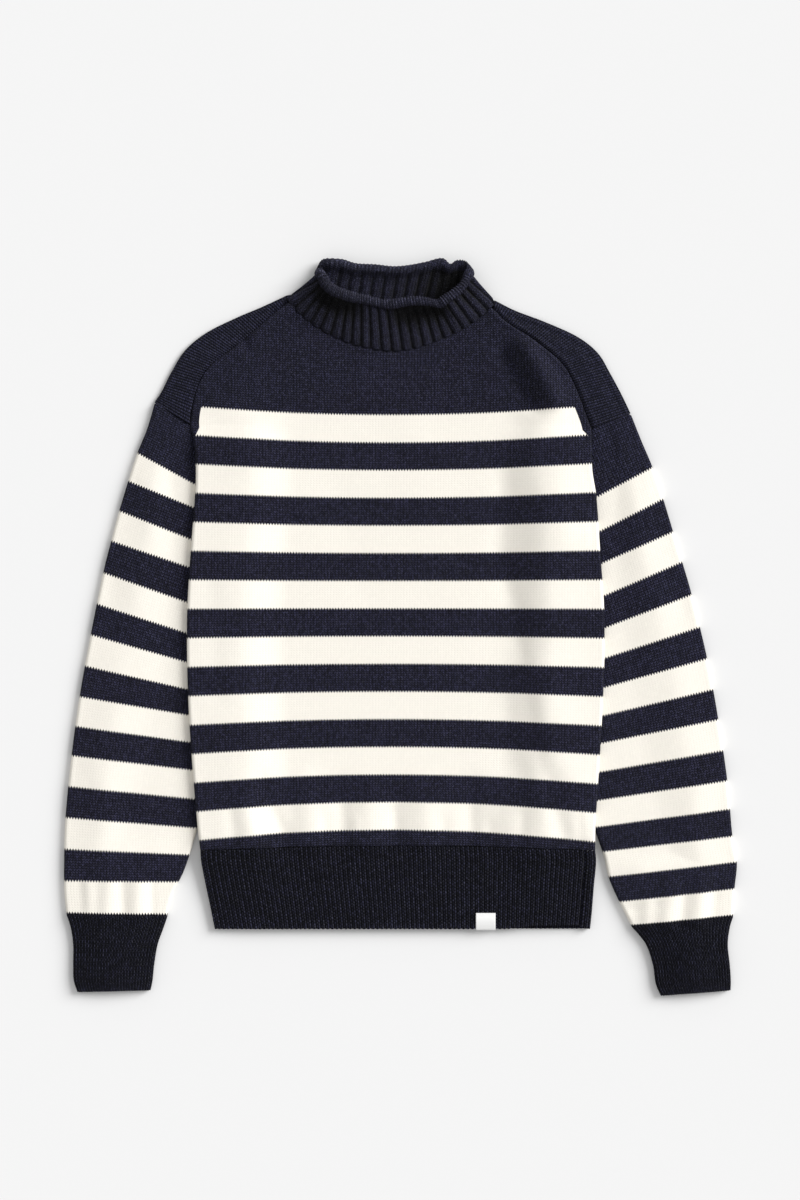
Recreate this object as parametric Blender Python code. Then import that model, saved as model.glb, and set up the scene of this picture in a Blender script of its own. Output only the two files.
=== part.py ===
"""Roll-neck sweater with saddle shoulders, navy and cream stripes, laid flat on its back.

Frame: metres, +Z up from the surface that the sweater lies on, +Y towards the neck and +X towards
the wearer's left. The origin is on the surface, in the middle of the sweater's outline. The sizes
in the tables and constants are in millimetres, and mesh points become metres where they are placed.
"""

from collections import namedtuple
import math

import bmesh
import bpy
import numpy as np

MM = 0.001

# Cloth. Two walls with a little air between them make the stack that every flat part lies in.
WALL = 2.6                # one layer of the body's knit
STACK = 7.2               # both layers at a fold edge
LOFT = 1.2                # how much the upper layer stands prouder away from the edges
LOFT_REACH = 45.0         # how far from an edge it has risen by that much
SEAM_GAP = 0.3            # between pieces that are sewn together
CUT_AWAY = 60.0           # a cut edge counts as this much further off than a fold
FOLD_FADE = 14.0          # soft folds die out over this distance towards a fold edge
EDGE_CROWDING = 0.9       # how strongly the columns of points crowd towards the fold edges
SLEEVE_STACK = 7.0
SLEEVE_LOFT_REACH = 30.0
LIMB_COLUMNS = 20         # points round a sleeve or cuff
TUCK_CLEAR = 0.25         # share of a sleeve's width from its outer fold that is clear of the body
TUCK_RUN = 0.3            # and the share over which its loft dies out from there
CLEAR_STATION = 10.0      # from this row of its table on, the whole width is clear
CUFF_STACK = 7.4
CUFF_WALL = 2.9
COLLAR_WALL = 2.4
LABEL_WALL = 0.8

# Columns and rows of points.
FRONT_COLUMNS = 28
FRONT_ROWS = 15
BACK_COLUMNS = 14
BACK_ROWS = 9
SADDLE_COLUMNS = 6        # on each of the strip's two halves
SADDLE_ROWS = 15
HEM_FRONT_COLUMNS = 26
HEM_BACK_COLUMNS = 14
HEM_WRAP_COLUMNS = 4      # of the back hem, where it comes round to the side seam
LABEL_COLUMNS = 3

NAVY = (0.011, 0.013, 0.028, 1.0)
CREAM = (0.83, 0.80, 0.71, 1.0)
WHITE = (0.90, 0.90, 0.88, 1.0)
KNIT_ROUGHNESS = 0.95

# The body's two fold edges from the hem seam to the top of the armhole. right and left are the
# wearer's, so right is at -X.
Side = namedtuple("Side", "y right left")
BODY_SIDES = [
    Side(-226, -206.0, 200.5),
    Side(-196, -209.5, 201.0),
    Side(-110, -216.5, 206.5),
    Side(-44, -219.4, 209.6),
    Side(18, -219.4, 209.6),
    Side(78, -215.8, 205.5),
    Side(131, -211.7, 201.9),
    Side(161, -210.6, 197.4),
    Side(190, -212.6, 196.8),
]

# The saddle strips run from the neck over the shoulders. seam is the edge sewn to the front, and
# fold is the shoulder's outline, where the strip turns under to its equal back half.
Saddle = namedtuple("Saddle", "seam_x seam_y fold_x fold_y")
SADDLES = {
    "right": [
        Saddle(-114.8, 334.2, -117.4, 341.4),
        Saddle(-132.4, 320.8, -142.7, 329.6),
        Saddle(-153.0, 302.8, -169.4, 318.3),
        Saddle(-174.6, 285.3, -200.3, 302.8),
        Saddle(-193.1, 271.5, -222.0, 284.8),
        Saddle(-206.5, 252.5, -236.4, 262.1),
        Saddle(-213.9, 230.5, -246.2, 242.6),
        Saddle(-216.8, 208.6, -252.9, 233.3),
    ],
    "left": [
        Saddle(95.3, 327.5, 97.8, 336.0),
        Saddle(109.7, 313.6, 119.0, 325.5),
        Saddle(132.4, 298.2, 148.8, 314.2),
        Saddle(154.0, 282.2, 181.8, 299.2),
        Saddle(168.4, 268.3, 203.4, 282.2),
        Saddle(178.7, 249.8, 216.8, 260.1),
        Saddle(188.0, 228.1, 228.1, 239.0),
        Saddle(196.2, 205.5, 236.4, 222.0),
    ],
}

# Sleeves and cuffs, shoulder to wrist. outer is the fold on the far side from the body, inner the
# fold of the underarm, which lies tucked under the body for most of its length.
Limb = namedtuple("Limb", "outer_x outer_y inner_x inner_y")
SLEEVES = {
    "right": [
        Limb(-252.9, 232.9, -217.3, 208.0),
        Limb(-261.1, 204.5, -211.6, 176.6),
        Limb(-271.9, 177.7, -203.4, 140.6),
        Limb(-281.2, 148.8, -190.0, 112.0),
        Limb(-290.5, 117.9, -180.8, 74.3),
        Limb(-298.7, 87.0, -174.6, 45.1),
        Limb(-306.9, 54.1, -172.5, 6.7),
        Limb(-319.8, -9.8, -175.6, -50.8),
        Limb(-331.2, -73.6, -184.9, -98.2),
        Limb(-339.4, -134.4, -194.2, -151.6),
        Limb(-345.6, -198.3, -209.6, -209.0),
        Limb(-347.0, -246.7, -222.5, -249.8),
        Limb(-346.6, -274.5, -234.3, -274.5),
        Limb(-344.5, -296.1, -240.4, -297.7),
    ],
    "left": [
        Limb(236.6, 221.5, 197.3, 204.4),
        Limb(248.7, 191.1, 198.2, 166.3),
        Limb(260.6, 162.7, 188.0, 124.2),
        Limb(271.4, 130.3, 176.6, 82.0),
        Limb(281.7, 96.3, 168.4, 46.4),
        Limb(291.0, 65.4, 163.3, 10.1),
        Limb(300.8, 31.4, 162.2, -21.1),
        Limb(316.7, -34.5, 167.4, -76.0),
        Limb(328.1, -97.3, 177.7, -127.4),
        Limb(337.3, -160.2, 191.1, -182.4),
        Limb(342.5, -217.3, 208.6, -233.3),
        Limb(347.0, -243.6, 214.8, -259.0),
        Limb(344.5, -271.4, 226.1, -284.8),
        Limb(343.2, -298.2, 238.0, -308.5),
    ],
}
CUFFS = {
    "right": [
        Limb(-344.3, -296.6, -240.5, -298.2),
        Limb(-339.9, -310.5, -245.1, -311.6),
        Limb(-337.3, -328.1, -250.8, -328.1),
        Limb(-337.3, -348.7, -254.4, -348.7),
        Limb(-336.8, -364.1, -256.0, -364.1),
        Limb(-333.0, -376.5, -258.0, -374.8),
    ],
    "left": [
        Limb(343.0, -298.7, 238.2, -309.0),
        Limb(339.4, -310.5, 245.1, -316.7),
        Limb(337.3, -328.1, 253.9, -329.1),
        Limb(339.4, -348.7, 260.6, -349.7),
        Limb(340.4, -364.1, 263.2, -368.2),
        Limb(340.2, -374.8, 268.5, -380.4),
    ],
}

# The hem band, from its seam with the body down to its lower edge.
HEM_SIDES = [
    Side(-226.5, -206.0, 200.5),
    Side(-240, -205.0, 201.4),
    Side(-265, -200.5, 199.3),
    Side(-290, -195.5, 197.5),
    Side(-311.5, -191.5, 195.5),
]
HEM_SEAM_ARCH = 4.5       # the hem seam is this much lower at the sides than in the middle
HEM_ARCH_ROWS = 3.0       # and so are the courses above it, up to this row of the body's table
HEM_SECTIONS = (0.0, 0.6, 1.6, 2.8, 4.0)   # rows of the hem's table that get a row of points
HEM_SIDE_SEAM = 11.0      # the left side seam lies this far in from the fold, on the front
HEM_LIP = 3.5             # the front hem's edge stands back by this much near the left side
HEM_LIP_FROM = 105.0      # where that begins, at X
HEM_LIP_RUN = 40.0
HEM_LIP_END = 0.03        # it is gone again this share of the width from the side

# How high the body's edges lie on the sleeves that are tucked under them.
Lift = namedtuple("Lift", "y height")
LIFTS = [
    Lift(-312, 0.3),
    Lift(-282, 1.2),
    Lift(-251, 3.5),
    Lift(-232, 6.0),
    Lift(-216, 7.6),
    Lift(180, 7.6),
    Lift(192, 5.0),
    Lift(208, 1.5),
    Lift(222, 0.0),
]
LIFT_SHELF = 52.0         # the body lies level on the sleeve this far in from its edge
LIFT_SLOPE = 50.0         # and comes down to the surface over this distance

# Soft folds in the upper layer: a line from (x0, y0) to (x1, y1), its half width and its height,
# below zero for a trough.
Fold = namedtuple("Fold", "x0 y0 x1 y1 width height")
BODY_FOLDS = [
    Fold(146, 262, 168, 100, 26, 2.6),      # ridge beside the left saddle seam
    Fold(112, 285, 122, 212, 20, -2.0),     # trough next to it on the yoke
    Fold(150, 120, 138, -60, 30, 2.2),      # the ridge runs on down the left side
    Fold(138, -60, 172, -190, 28, 2.2),
    Fold(108, 60, 118, -150, 26, -1.2),
    Fold(-168, 270, -150, 190, 24, 2.0),    # ridge beside the right saddle seam
    Fold(-146, -178, -122, -222, 13, -1.8),  # gathers above the hem, right to left
    Fold(-160, -170, -152, -224, 12, 1.8),
    Fold(-98, -165, -92, -224, 15, 2.2),
    Fold(-62, -180, -62, -224, 11, -1.4),
    Fold(-34, -175, -32, -224, 13, 1.8),
    Fold(-6, -175, -4, -224, 11, -1.6),
    Fold(26, -170, 26, -224, 14, 2.0),
    Fold(70, -165, 72, -224, 13, -1.4),
    Fold(108, -165, 110, -224, 15, 2.0),
    Fold(160, -160, 170, -222, 13, -1.6),
]
SLEEVE_FOLDS = [
    Fold(-300, -262, -302, -296, 9, 1.8),   # gathers above the cuffs
    Fold(-270, -262, -270, -297, 9, 1.8),
    Fold(-322, -266, -322, -296, 7, 1.4),
    Fold(310, -268, 306, -304, 9, 1.8),
    Fold(280, -268, 274, -305, 9, 1.8),
    Fold(254, -284, 254, -307, 7, 1.2),
]

# The collar is a tube of two-by-two rib that ends in a rolled edge. A row ties a place on the
# neckline to the place on the rolled edge that the same rib reaches. Ribs are counted from the
# right shoulder along the front to the left shoulder and on round the back.
Rib = namedtuple("Rib", "number base_x base_y base_z top_x top_y top_z")
RIBS_AROUND = 40
LEFT_SHOULDER_RIB = 22
COLLAR = [
    Rib(0.0, -114.6, 338.6, 5.0, -81.4, 360.0, 15.0),
    Rib(1.0, -107.6, 329.1, 7.1, -80.3, 355.4, 18.0),
    Rib(3.0, -91.7, 314.7, 7.1, -71.6, 348.1, 21.0),
    Rib(6.0, -60.3, 297.1, 7.1, -54.1, 339.9, 22.0),
    Rib(8.8, -32.4, 288.9, 7.1, -33.5, 335.3, 21.0),
    Rib(11.0, -8.8, 285.8, 7.1, -14.4, 331.1, 19.5),
    Rib(14.0, 23.2, 291.0, 7.1, 12.9, 334.8, 22.0),
    Rib(15.7, 40.7, 297.7, 7.1, 28.3, 334.2, 23.0),
    Rib(17.5, 58.7, 305.4, 7.1, 40.7, 332.7, 23.5),
    Rib(18.5, 67.5, 310.5, 7.1, 47.4, 337.3, 23.0),
    Rib(20.0, 80.9, 319.8, 7.1, 58.2, 345.1, 22.0),
    Rib(21.0, 88.6, 326.5, 6.6, 63.9, 351.2, 20.5),
    Rib(22.0, 94.9, 333.6, 5.0, 67.5, 357.9, 18.0),
    Rib(23.5, 83.9, 332.7, 2.7, 68.0, 365.7, 13.5),
    Rib(25.0, 65.4, 329.6, 2.7, 62.8, 371.8, 10.0),
    Rib(26.0, 53.0, 327.5, 2.7, 56.7, 372.3, 8.5),
    Rib(26.9, 42.2, 326.0, 2.7, 50.5, 369.3, 7.5),
    Rib(27.8, 31.4, 325.0, 2.7, 43.3, 374.4, 7.5),
    Rib(29.3, 13.9, 323.4, 2.7, 24.2, 370.8, 7.0),
    Rib(31.3, -8.8, 322.9, 2.7, -0.5, 366.7, 7.0),
    Rib(33.3, -32.4, 323.4, 2.7, -24.2, 368.2, 7.0),
    Rib(35.3, -56.1, 325.5, 2.7, -47.9, 369.8, 7.0),
    Rib(36.7, -72.6, 327.5, 2.7, -63.3, 373.9, 7.5),
    Rib(37.7, -85.0, 330.1, 2.7, -73.6, 376.0, 8.5),
    Rib(38.6, -96.3, 332.7, 2.7, -79.3, 372.9, 10.5),
    Rib(39.3, -105.6, 336.0, 3.2, -81.4, 367.2, 12.8),
]
RIB_HEIGHT = 1.0
COLLAR_OUTER_ROWS = (0.0, 0.3, 0.6, 0.88)
COLLAR_INNER_ROWS = (0.8, 0.4, 0.0)
COLLAR_REST = 0.05                # nothing on the collar reaches lower than this
RIB_STEPS = (0.0, 1.0, 1.0)       # one groove and two crest columns for each rib
ROLL_RADIUS = 4.5
ROLL_OFFSET = 1.8                 # the roll's middle stands this far outside the wall's
ROLL_START = -97.0                # the roll's first and last angle from straight outwards
ROLL_END = 221.0
ROLL_STEPS = 7
NECK_GAP = 1.2                    # from the panels' neck edges to the middle of the collar's wall
RIB_LOOK = 0.2                    # how far along the ring its direction is read, in ribs

LABEL_X = (76.5, 98.5)            # the folded label, at the lower edge of the front hem
LABEL_FRONT = 17.0
LABEL_BACK = 11.0
LABEL_CLEAR = 0.45
LABEL_TURN = 1.0          # where the label starts to turn round the hem's edge
LABEL_ROUND = 0.6         # and how far down its rounded corners reach
LABEL_FREE = 0.3          # its upper end stands off by this much


for leftover in list(bpy.context.scene.objects):
    bpy.data.objects.remove(leftover, do_unlink=True)


# ---------------------------------------------------------------- curves and heights

def smooth(keys, values, at, period=None):
    """Smooth curve through values at rising keys. With a period it closes on itself."""
    keys = np.asarray(keys, float)
    values = np.asarray(values, float)
    if period:
        keys = np.concatenate([keys[-2:] - period, keys, keys[:3] + period])
        values = np.concatenate([values[-2:], values, values[:3]])
    slopes = np.gradient(values, keys)
    k = np.clip(np.searchsorted(keys, at, side="right") - 1, 0, len(keys) - 2)
    span = keys[k + 1] - keys[k]
    t = np.clip((at - keys[k]) / span, 0.0, 1.0)
    start = (1 + 2 * t) * (1 - t) ** 2 * values[k] + t * (1 - t) ** 2 * span * slopes[k]
    end = t * t * (3 - 2 * t) * values[k + 1] + t * t * (t - 1) * span * slopes[k + 1]
    return start + end


def column(rows, *names):
    """Smooth curve through named columns of a table, at station numbers such as 2.5."""
    stations = np.arange(len(rows))
    return lambda at: np.stack(
        [smooth(stations, [getattr(row, name) for row in rows], at) for name in names], axis=-1)


def ease(t):
    """0 below 0, 1 above 1, and a smooth step between."""
    t = np.clip(t, 0.0, 1.0)
    return t * t * (3 - 2 * t)


def edge_warp(count):
    """Places from 0 to 1 that crowd towards both ends, for a sheet with two fold edges."""
    t = np.linspace(0.0, 1.0, count)
    return EDGE_CROWDING * (0.5 - 0.5 * np.cos(math.pi * t)) + (1 - EDGE_CROWDING) * t


def lift(y, from_edge):
    """How high the tucked sleeves hold the body above the surface."""
    height = np.interp(y, [row.y for row in LIFTS], [row.height for row in LIFTS])
    return height * (1 - ease((from_edge - LIFT_SHELF) / LIFT_SLOPE))


def folds(x, y, table):
    """Height of a table's soft folds."""
    height = np.zeros_like(x)
    for fold in table:
        run = np.array([fold.x1 - fold.x0, fold.y1 - fold.y0])
        length = np.hypot(*run)
        along = ((x - fold.x0) * run[0] + (y - fold.y0) * run[1]) / length
        aside = ((x - fold.x0) * run[1] - (y - fold.y0) * run[0]) / length
        past = np.maximum(np.maximum(-along, along - length), 0.0)
        height += fold.height * np.exp(-(aside / fold.width) ** 2 - (past / fold.width) ** 2)
    return height


def lie(start, end, across, upper, outside, wall=WALL, stack=STACK, fold_start=1.0, fold_end=1.0):
    """Plan points and heights of a wall that is folded flat between two edges.

    start and end are the edges' plan points, and across runs from 0 at start to 1 at end. upper
    is 1 for the layer that shows and -1 for the one beneath, and outside is 1 for the garment's
    outer face and 0 for its inner one. fold_start and fold_end are 1 where the cloth folds round
    that edge and 0 where it is cut. Also returns the distances from the nearer fold and edge.
    """
    run = end - start
    width = np.hypot(run[:, 0], run[:, 1])
    inset = np.where(outside, 0.0, wall)
    radius = np.where(outside, stack / 2, stack / 2 - wall)
    inner_width = width - inset * (fold_start + fold_end)
    from_start = across * inner_width
    from_end = inner_width - from_start

    def drop(distance):
        return 1 - np.sqrt(1 - np.clip(1 - distance / radius, 0.0, 1.0) ** 2)

    height = radius * (1 - fold_start * drop(from_start) - fold_end * drop(from_end))
    height = np.maximum(height, SEAM_GAP / 2)
    place = (inset * fold_start + from_start) / width
    plan = start + run * place[:, None]
    fold_distance = np.minimum(from_start + CUT_AWAY * (1 - fold_start),
                               from_end + CUT_AWAY * (1 - fold_end))
    return plan, stack / 2 + upper * height, fold_distance, np.minimum(from_start, from_end)


# ---------------------------------------------------------------- meshes

def finish(name, bm, colour):
    """Make the object and its material from a closed bmesh."""
    bmesh.ops.recalc_face_normals(bm, faces=bm.faces)
    if bm.calc_volume(signed=True) < 0:
        bmesh.ops.reverse_faces(bm, faces=bm.faces)
    mesh = bpy.data.meshes.new(name)
    bm.to_mesh(mesh)
    bm.free()
    mesh.shade_smooth()
    material = bpy.data.materials.new(name)
    material.use_nodes = True
    shader = material.node_tree.nodes["Principled BSDF"]
    shader.inputs["Base Color"].default_value = colour
    shader.inputs["Roughness"].default_value = KNIT_ROUGHNESS
    shader.inputs["Metallic"].default_value = 0.0
    mesh.materials.append(material)
    made = bpy.data.objects.new(name, mesh)
    bpy.context.scene.collection.objects.link(made)
    return made


def sheet(name, columns, rows, place, colour):
    """A wall with four rims. place(column, row, outside) gives its points in millimetres."""
    bm = bmesh.new()
    bmesh.ops.create_grid(bm, x_segments=columns - 1, y_segments=rows - 1, size=0.5)
    inside = list(bm.verts)
    made = bmesh.ops.extrude_face_region(bm, geom=bm.faces[:])
    outside = [item for item in made["geom"] if isinstance(item, bmesh.types.BMVert)]
    for face, verts in ((False, inside), (True, outside)):
        grid = np.array([vert.co[:2] for vert in verts]) + 0.5
        across = np.rint(grid[:, 0] * (columns - 1)).astype(int)
        along = np.rint(grid[:, 1] * (rows - 1)).astype(int)
        for vert, point in zip(verts, place(across, along, np.full(len(verts), face))):
            vert.co = point * MM
    return finish(name, bm, colour)


def tube(name, around, levels, place, colour):
    """A wall round a hollow: a ring of points for each level, the last joined to the first.

    The levels go along the outer face and back along the inner one, and place(step, level) gives
    the points in millimetres.
    """
    bm = bmesh.new()
    bmesh.ops.create_circle(bm, segments=around, radius=1.0)
    first = bm.edges[:]
    ring = first
    for _ in range(levels - 1):
        made = bmesh.ops.extrude_edge_only(bm, edges=ring)["geom"]
        ring = [item for item in made if isinstance(item, bmesh.types.BMEdge)
                and all(vert in made for vert in item.verts)]
        verts = [item for item in made if isinstance(item, bmesh.types.BMVert)]
        bmesh.ops.translate(bm, vec=(0, 0, 1), verts=verts)
    bmesh.ops.bridge_loops(bm, edges=first + ring)
    spots = np.array([vert.co[:] for vert in bm.verts])
    step = np.rint(np.arctan2(spots[:, 1], spots[:, 0]) / (2 * math.pi) * around).astype(int) % around
    level = np.rint(spots[:, 2]).astype(int)
    for vert, point in zip(bm.verts, place(step, level)):
        vert.co = point * MM
    return finish(name, bm, colour)


# ---------------------------------------------------------------- the body's edges

BODY_END = len(BODY_SIDES)                       # station where the saddle seam begins
NECK_END = BODY_END + len(SADDLES["left"]) - 1   # station of the neck corner
SEAM_STATIONS = np.linspace(BODY_END, NECK_END, SADDLE_ROWS)
FOLD_END = 3.0                                   # stations over which the side fold runs out


def body_edge(side):
    """Smooth curve of one side of the body, from the hem seam along the saddle seam to the neck."""
    Point = namedtuple("Point", "x y")
    points = [Point(getattr(row, side), row.y) for row in BODY_SIDES]
    points += [Point(row.seam_x, row.seam_y) for row in reversed(SADDLES[side])]
    return column(points, "x", "y")


def neck_edge(x, front):
    """Y of a panel's neck edge, which follows the collar's base at a small gap."""
    if front:
        rows = [row for row in COLLAR if row.number <= LEFT_SHOULDER_RIB]
    else:
        rows = [COLLAR[0]] + [row for row in reversed(COLLAR) if row.number >= LEFT_SHOULDER_RIB]
    keys = [row.base_x for row in rows]
    values = [row.base_y for row in rows]
    reach = 1.0
    slope = (smooth(keys, values, x + reach) - smooth(keys, values, x - reach)) / (2 * reach)
    return smooth(keys, values, x) - NECK_GAP * np.sqrt(1 + slope ** 2)


def hem_arch(across):
    """How far the hem seam and the courses next to it bend down towards the sides."""
    return -HEM_SEAM_ARCH * (2 * across - 1) ** 2


def body_plan(station, across, upper, outside):
    """Plan points, heights and edge distances on the front or back panel."""
    start, end = body_edge("right")(station), body_edge("left")(station)
    fold = 1 - ease((station - BODY_END) / FOLD_END)
    plan, height, fold_distance, edge_distance = lie(
        start, end, across, upper, outside, fold_start=fold, fold_end=fold)
    plan[:, 1] += hem_arch(across) * (1 - ease(station / HEM_ARCH_ROWS))
    middle = 0.5 * (start[:, 1] + end[:, 1])
    low = 0.5 * (body_edge("right")(np.array([BODY_END]))[0, 1]
                 + body_edge("left")(np.array([BODY_END]))[0, 1])
    corners = [body_edge(side)(np.array([NECK_END]))[0] for side in ("right", "left")]
    x = corners[0][0] + (corners[1][0] - corners[0][0]) * across
    chord = corners[0][1] + (corners[1][1] - corners[0][1]) * across
    dip = np.minimum(neck_edge(x, upper > 0) - chord, 0.0)
    rise = np.clip((middle - low) / (0.5 * (corners[0][1] + corners[1][1]) - low), 0.0, 1.0)
    plan[:, 1] += dip * rise
    return plan, height, fold_distance, edge_distance


def body_relief(plan, fold_distance):
    """Loft and soft folds of the upper layer."""
    soft = folds(plan[:, 0], plan[:, 1], BODY_FOLDS)
    return LOFT * ease(fold_distance / LOFT_REACH) + soft * ease(fold_distance / FOLD_FADE)


def stand(plan, height):
    return np.column_stack([plan, height])


# ---------------------------------------------------------------- front and back

def make_panel(name, columns, rows, upper):
    places = edge_warp(columns)
    stations = np.concatenate([np.linspace(0, BODY_END, rows)[:-1], SEAM_STATIONS])

    def place(across, along, outside):
        plan, height, fold_distance, edge_distance = body_plan(
            stations[along], places[across], upper, outside)
        height = height + lift(plan[:, 1], edge_distance)
        if upper > 0:
            height += body_relief(plan, fold_distance)
        return stand(plan, height)

    return sheet(name, columns, len(stations), place, CREAM)


make_panel("front", FRONT_COLUMNS, FRONT_ROWS, 1)
make_panel("back", BACK_COLUMNS, BACK_ROWS, -1)


# ---------------------------------------------------------------- saddles

def make_saddle(side):
    """A strip folded over the shoulder, its front half sewn to the front along the same curve."""
    seam = body_edge(side)
    fold = column(list(reversed(SADDLES[side])), "fold_x", "fold_y")
    reach = np.sin(np.linspace(0, math.pi / 2, SADDLE_COLUMNS + 1))
    places = np.concatenate([reach, reach[-2::-1]])
    layers = np.concatenate([np.ones(SADDLE_COLUMNS), [0.0], -np.ones(SADDLE_COLUMNS)])

    def place(across, along, outside):
        station = SEAM_STATIONS[along]
        start, end = seam(station), fold(station - BODY_END)
        width = np.hypot(*(end - start).T)
        reach = SEAM_GAP / width + (1 - SEAM_GAP / width) * places[across]
        plan, height, fold_distance, _ = lie(
            start, end, reach, layers[across], outside, fold_start=0.0)
        height += np.where(layers[across] > 0, LOFT * ease(fold_distance / LOFT_REACH), 0.0)
        return stand(plan, height)

    return sheet("saddle_" + side, len(places), len(SEAM_STATIONS), place, NAVY)


for wearer_side in ("left", "right"):
    make_saddle(wearer_side)


# ---------------------------------------------------------------- sleeves and cuffs

def make_limb(name, rows, wall, stack, colour, tucked):
    """A flattened tube from its table's first row to its last."""
    outer = column(rows, "outer_x", "outer_y")
    inner = column(rows, "inner_x", "inner_y")
    half = LIMB_COLUMNS // 2
    warp = edge_warp(half + 1)
    places = np.concatenate([warp, warp[-2:0:-1]])
    layers = np.concatenate([[0.0], np.ones(half - 1), [0.0], -np.ones(half - 1)])
    count = len(rows)

    def place(step, level):
        outside = level < count
        row = np.where(outside, level, 2 * count - 1 - level).astype(float)
        start, end, across = outer(row), inner(row), places[step]
        plan, height, fold_distance, _ = lie(start, end, across, layers[step], outside, wall, stack)
        relief = LOFT * ease(fold_distance / SLEEVE_LOFT_REACH)
        relief += folds(plan[:, 0], plan[:, 1], SLEEVE_FOLDS) * ease(fold_distance / FOLD_FADE)
        if tucked:
            clear = 1 - ease((across - TUCK_CLEAR) / TUCK_RUN)
            relief *= np.maximum(clear, ease(row - CLEAR_STATION))
        return stand(plan, height + np.where(layers[step] > 0, relief, 0.0))

    return tube(name, LIMB_COLUMNS, 2 * count, place, colour)


for wearer_side in ("left", "right"):
    make_limb("sleeve_" + wearer_side, SLEEVES[wearer_side], WALL, SLEEVE_STACK, CREAM, True)
    make_limb("cuff_" + wearer_side, CUFFS[wearer_side], CUFF_WALL, CUFF_STACK, NAVY, False)


# ---------------------------------------------------------------- hem band

def hem_points(station, across, upper, outside):
    right = column(HEM_SIDES, "right", "y")(station)
    left = column(HEM_SIDES, "left", "y")(station)
    plan, height, fold_distance, edge_distance = lie(right, left, across, upper, outside)
    down = station / (len(HEM_SIDES) - 1)
    plan[:, 1] += hem_arch(across) * (1 - down)
    lip = np.where(upper > 0, HEM_LIP * ease((plan[:, 0] - HEM_LIP_FROM) / HEM_LIP_RUN), 0.0)
    plan[:, 1] += lip * down * ease((1 - across) / HEM_LIP_END)
    height = height + lift(plan[:, 1], edge_distance)
    height += np.where(upper > 0, body_relief(plan, fold_distance), 0.0)
    return stand(plan, height)


def make_hem():
    width = HEM_SIDES[0].left - HEM_SIDES[0].right
    seam = 1 - HEM_SIDE_SEAM / width
    sections = np.array(HEM_SECTIONS)

    front = seam * (1 - np.cos(np.linspace(0, math.pi / 2, HEM_FRONT_COLUMNS)))
    front = 0.5 * front + 0.5 * np.linspace(0, seam, HEM_FRONT_COLUMNS)

    def place_front(across, along, outside):
        return hem_points(sections[along], front[across], np.ones(len(across)), outside)

    sheet("hem_front", HEM_FRONT_COLUMNS, len(HEM_SECTIONS), place_front, NAVY)

    wrap = seam + SEAM_GAP / width + (1 - seam - SEAM_GAP / width) * np.sin(
        np.linspace(0, math.pi / 2, HEM_WRAP_COLUMNS + 1))
    under = edge_warp(HEM_BACK_COLUMNS)[::-1]
    back = np.concatenate([wrap, under[1:]])
    layers = np.concatenate([np.ones(HEM_WRAP_COLUMNS), [0.0], -np.ones(HEM_BACK_COLUMNS - 1)])

    def place_back(across, along, outside):
        return hem_points(sections[along], back[across], layers[across], outside)

    sheet("hem_back", len(back), len(HEM_SECTIONS), place_back, NAVY)


make_hem()


# ---------------------------------------------------------------- collar

def make_collar():
    keys = [row.number for row in COLLAR]

    def ring(end, at):
        names = [end + "_" + axis for axis in "xyz"]
        return np.stack([smooth(keys, [getattr(row, n) for row in COLLAR], at % RIBS_AROUND, RIBS_AROUND)
                         for n in names], axis=-1)

    def unit(vectors):
        return vectors / np.linalg.norm(vectors, axis=1)[:, None]

    around = RIBS_AROUND * len(RIB_STEPS)
    crest = np.array(RIB_STEPS)
    outer = COLLAR_OUTER_ROWS
    inner = COLLAR_INNER_ROWS
    roll = np.radians(np.linspace(ROLL_START, ROLL_END, ROLL_STEPS))

    def place(step, level):
        at = step / len(RIB_STEPS)
        base, top = ring("base", at), ring("top", at)
        ahead = ring("base", at + RIB_LOOK) + ring("top", at + RIB_LOOK)
        behind = ring("base", at - RIB_LOOK) + ring("top", at - RIB_LOOK)
        rise = unit(top - base)
        out = unit(np.cross(ahead - behind, rise))
        points = np.zeros((len(step), 3))
        for number, reach in enumerate(outer):
            face = COLLAR_WALL / 2 + RIB_HEIGHT * crest[step % len(RIB_STEPS)]
            points = np.where((level == number)[:, None],
                              base + (top - base) * reach + out * face[:, None], points)
        for number, angle in enumerate(roll, start=len(outer)):
            middle = top + out * ROLL_OFFSET
            points = np.where((level == number)[:, None],
                              middle + ROLL_RADIUS * (math.cos(angle) * out + math.sin(angle) * rise),
                              points)
        for number, reach in enumerate(inner, start=len(outer) + len(roll)):
            points = np.where((level == number)[:, None],
                              base + (top - base) * reach - out * COLLAR_WALL / 2, points)
        points[:, 2] = np.maximum(points[:, 2], COLLAR_REST)
        return points

    tube("collar", around, len(outer) + len(roll) + len(inner), place, NAVY)


make_collar()


# ---------------------------------------------------------------- label

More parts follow.
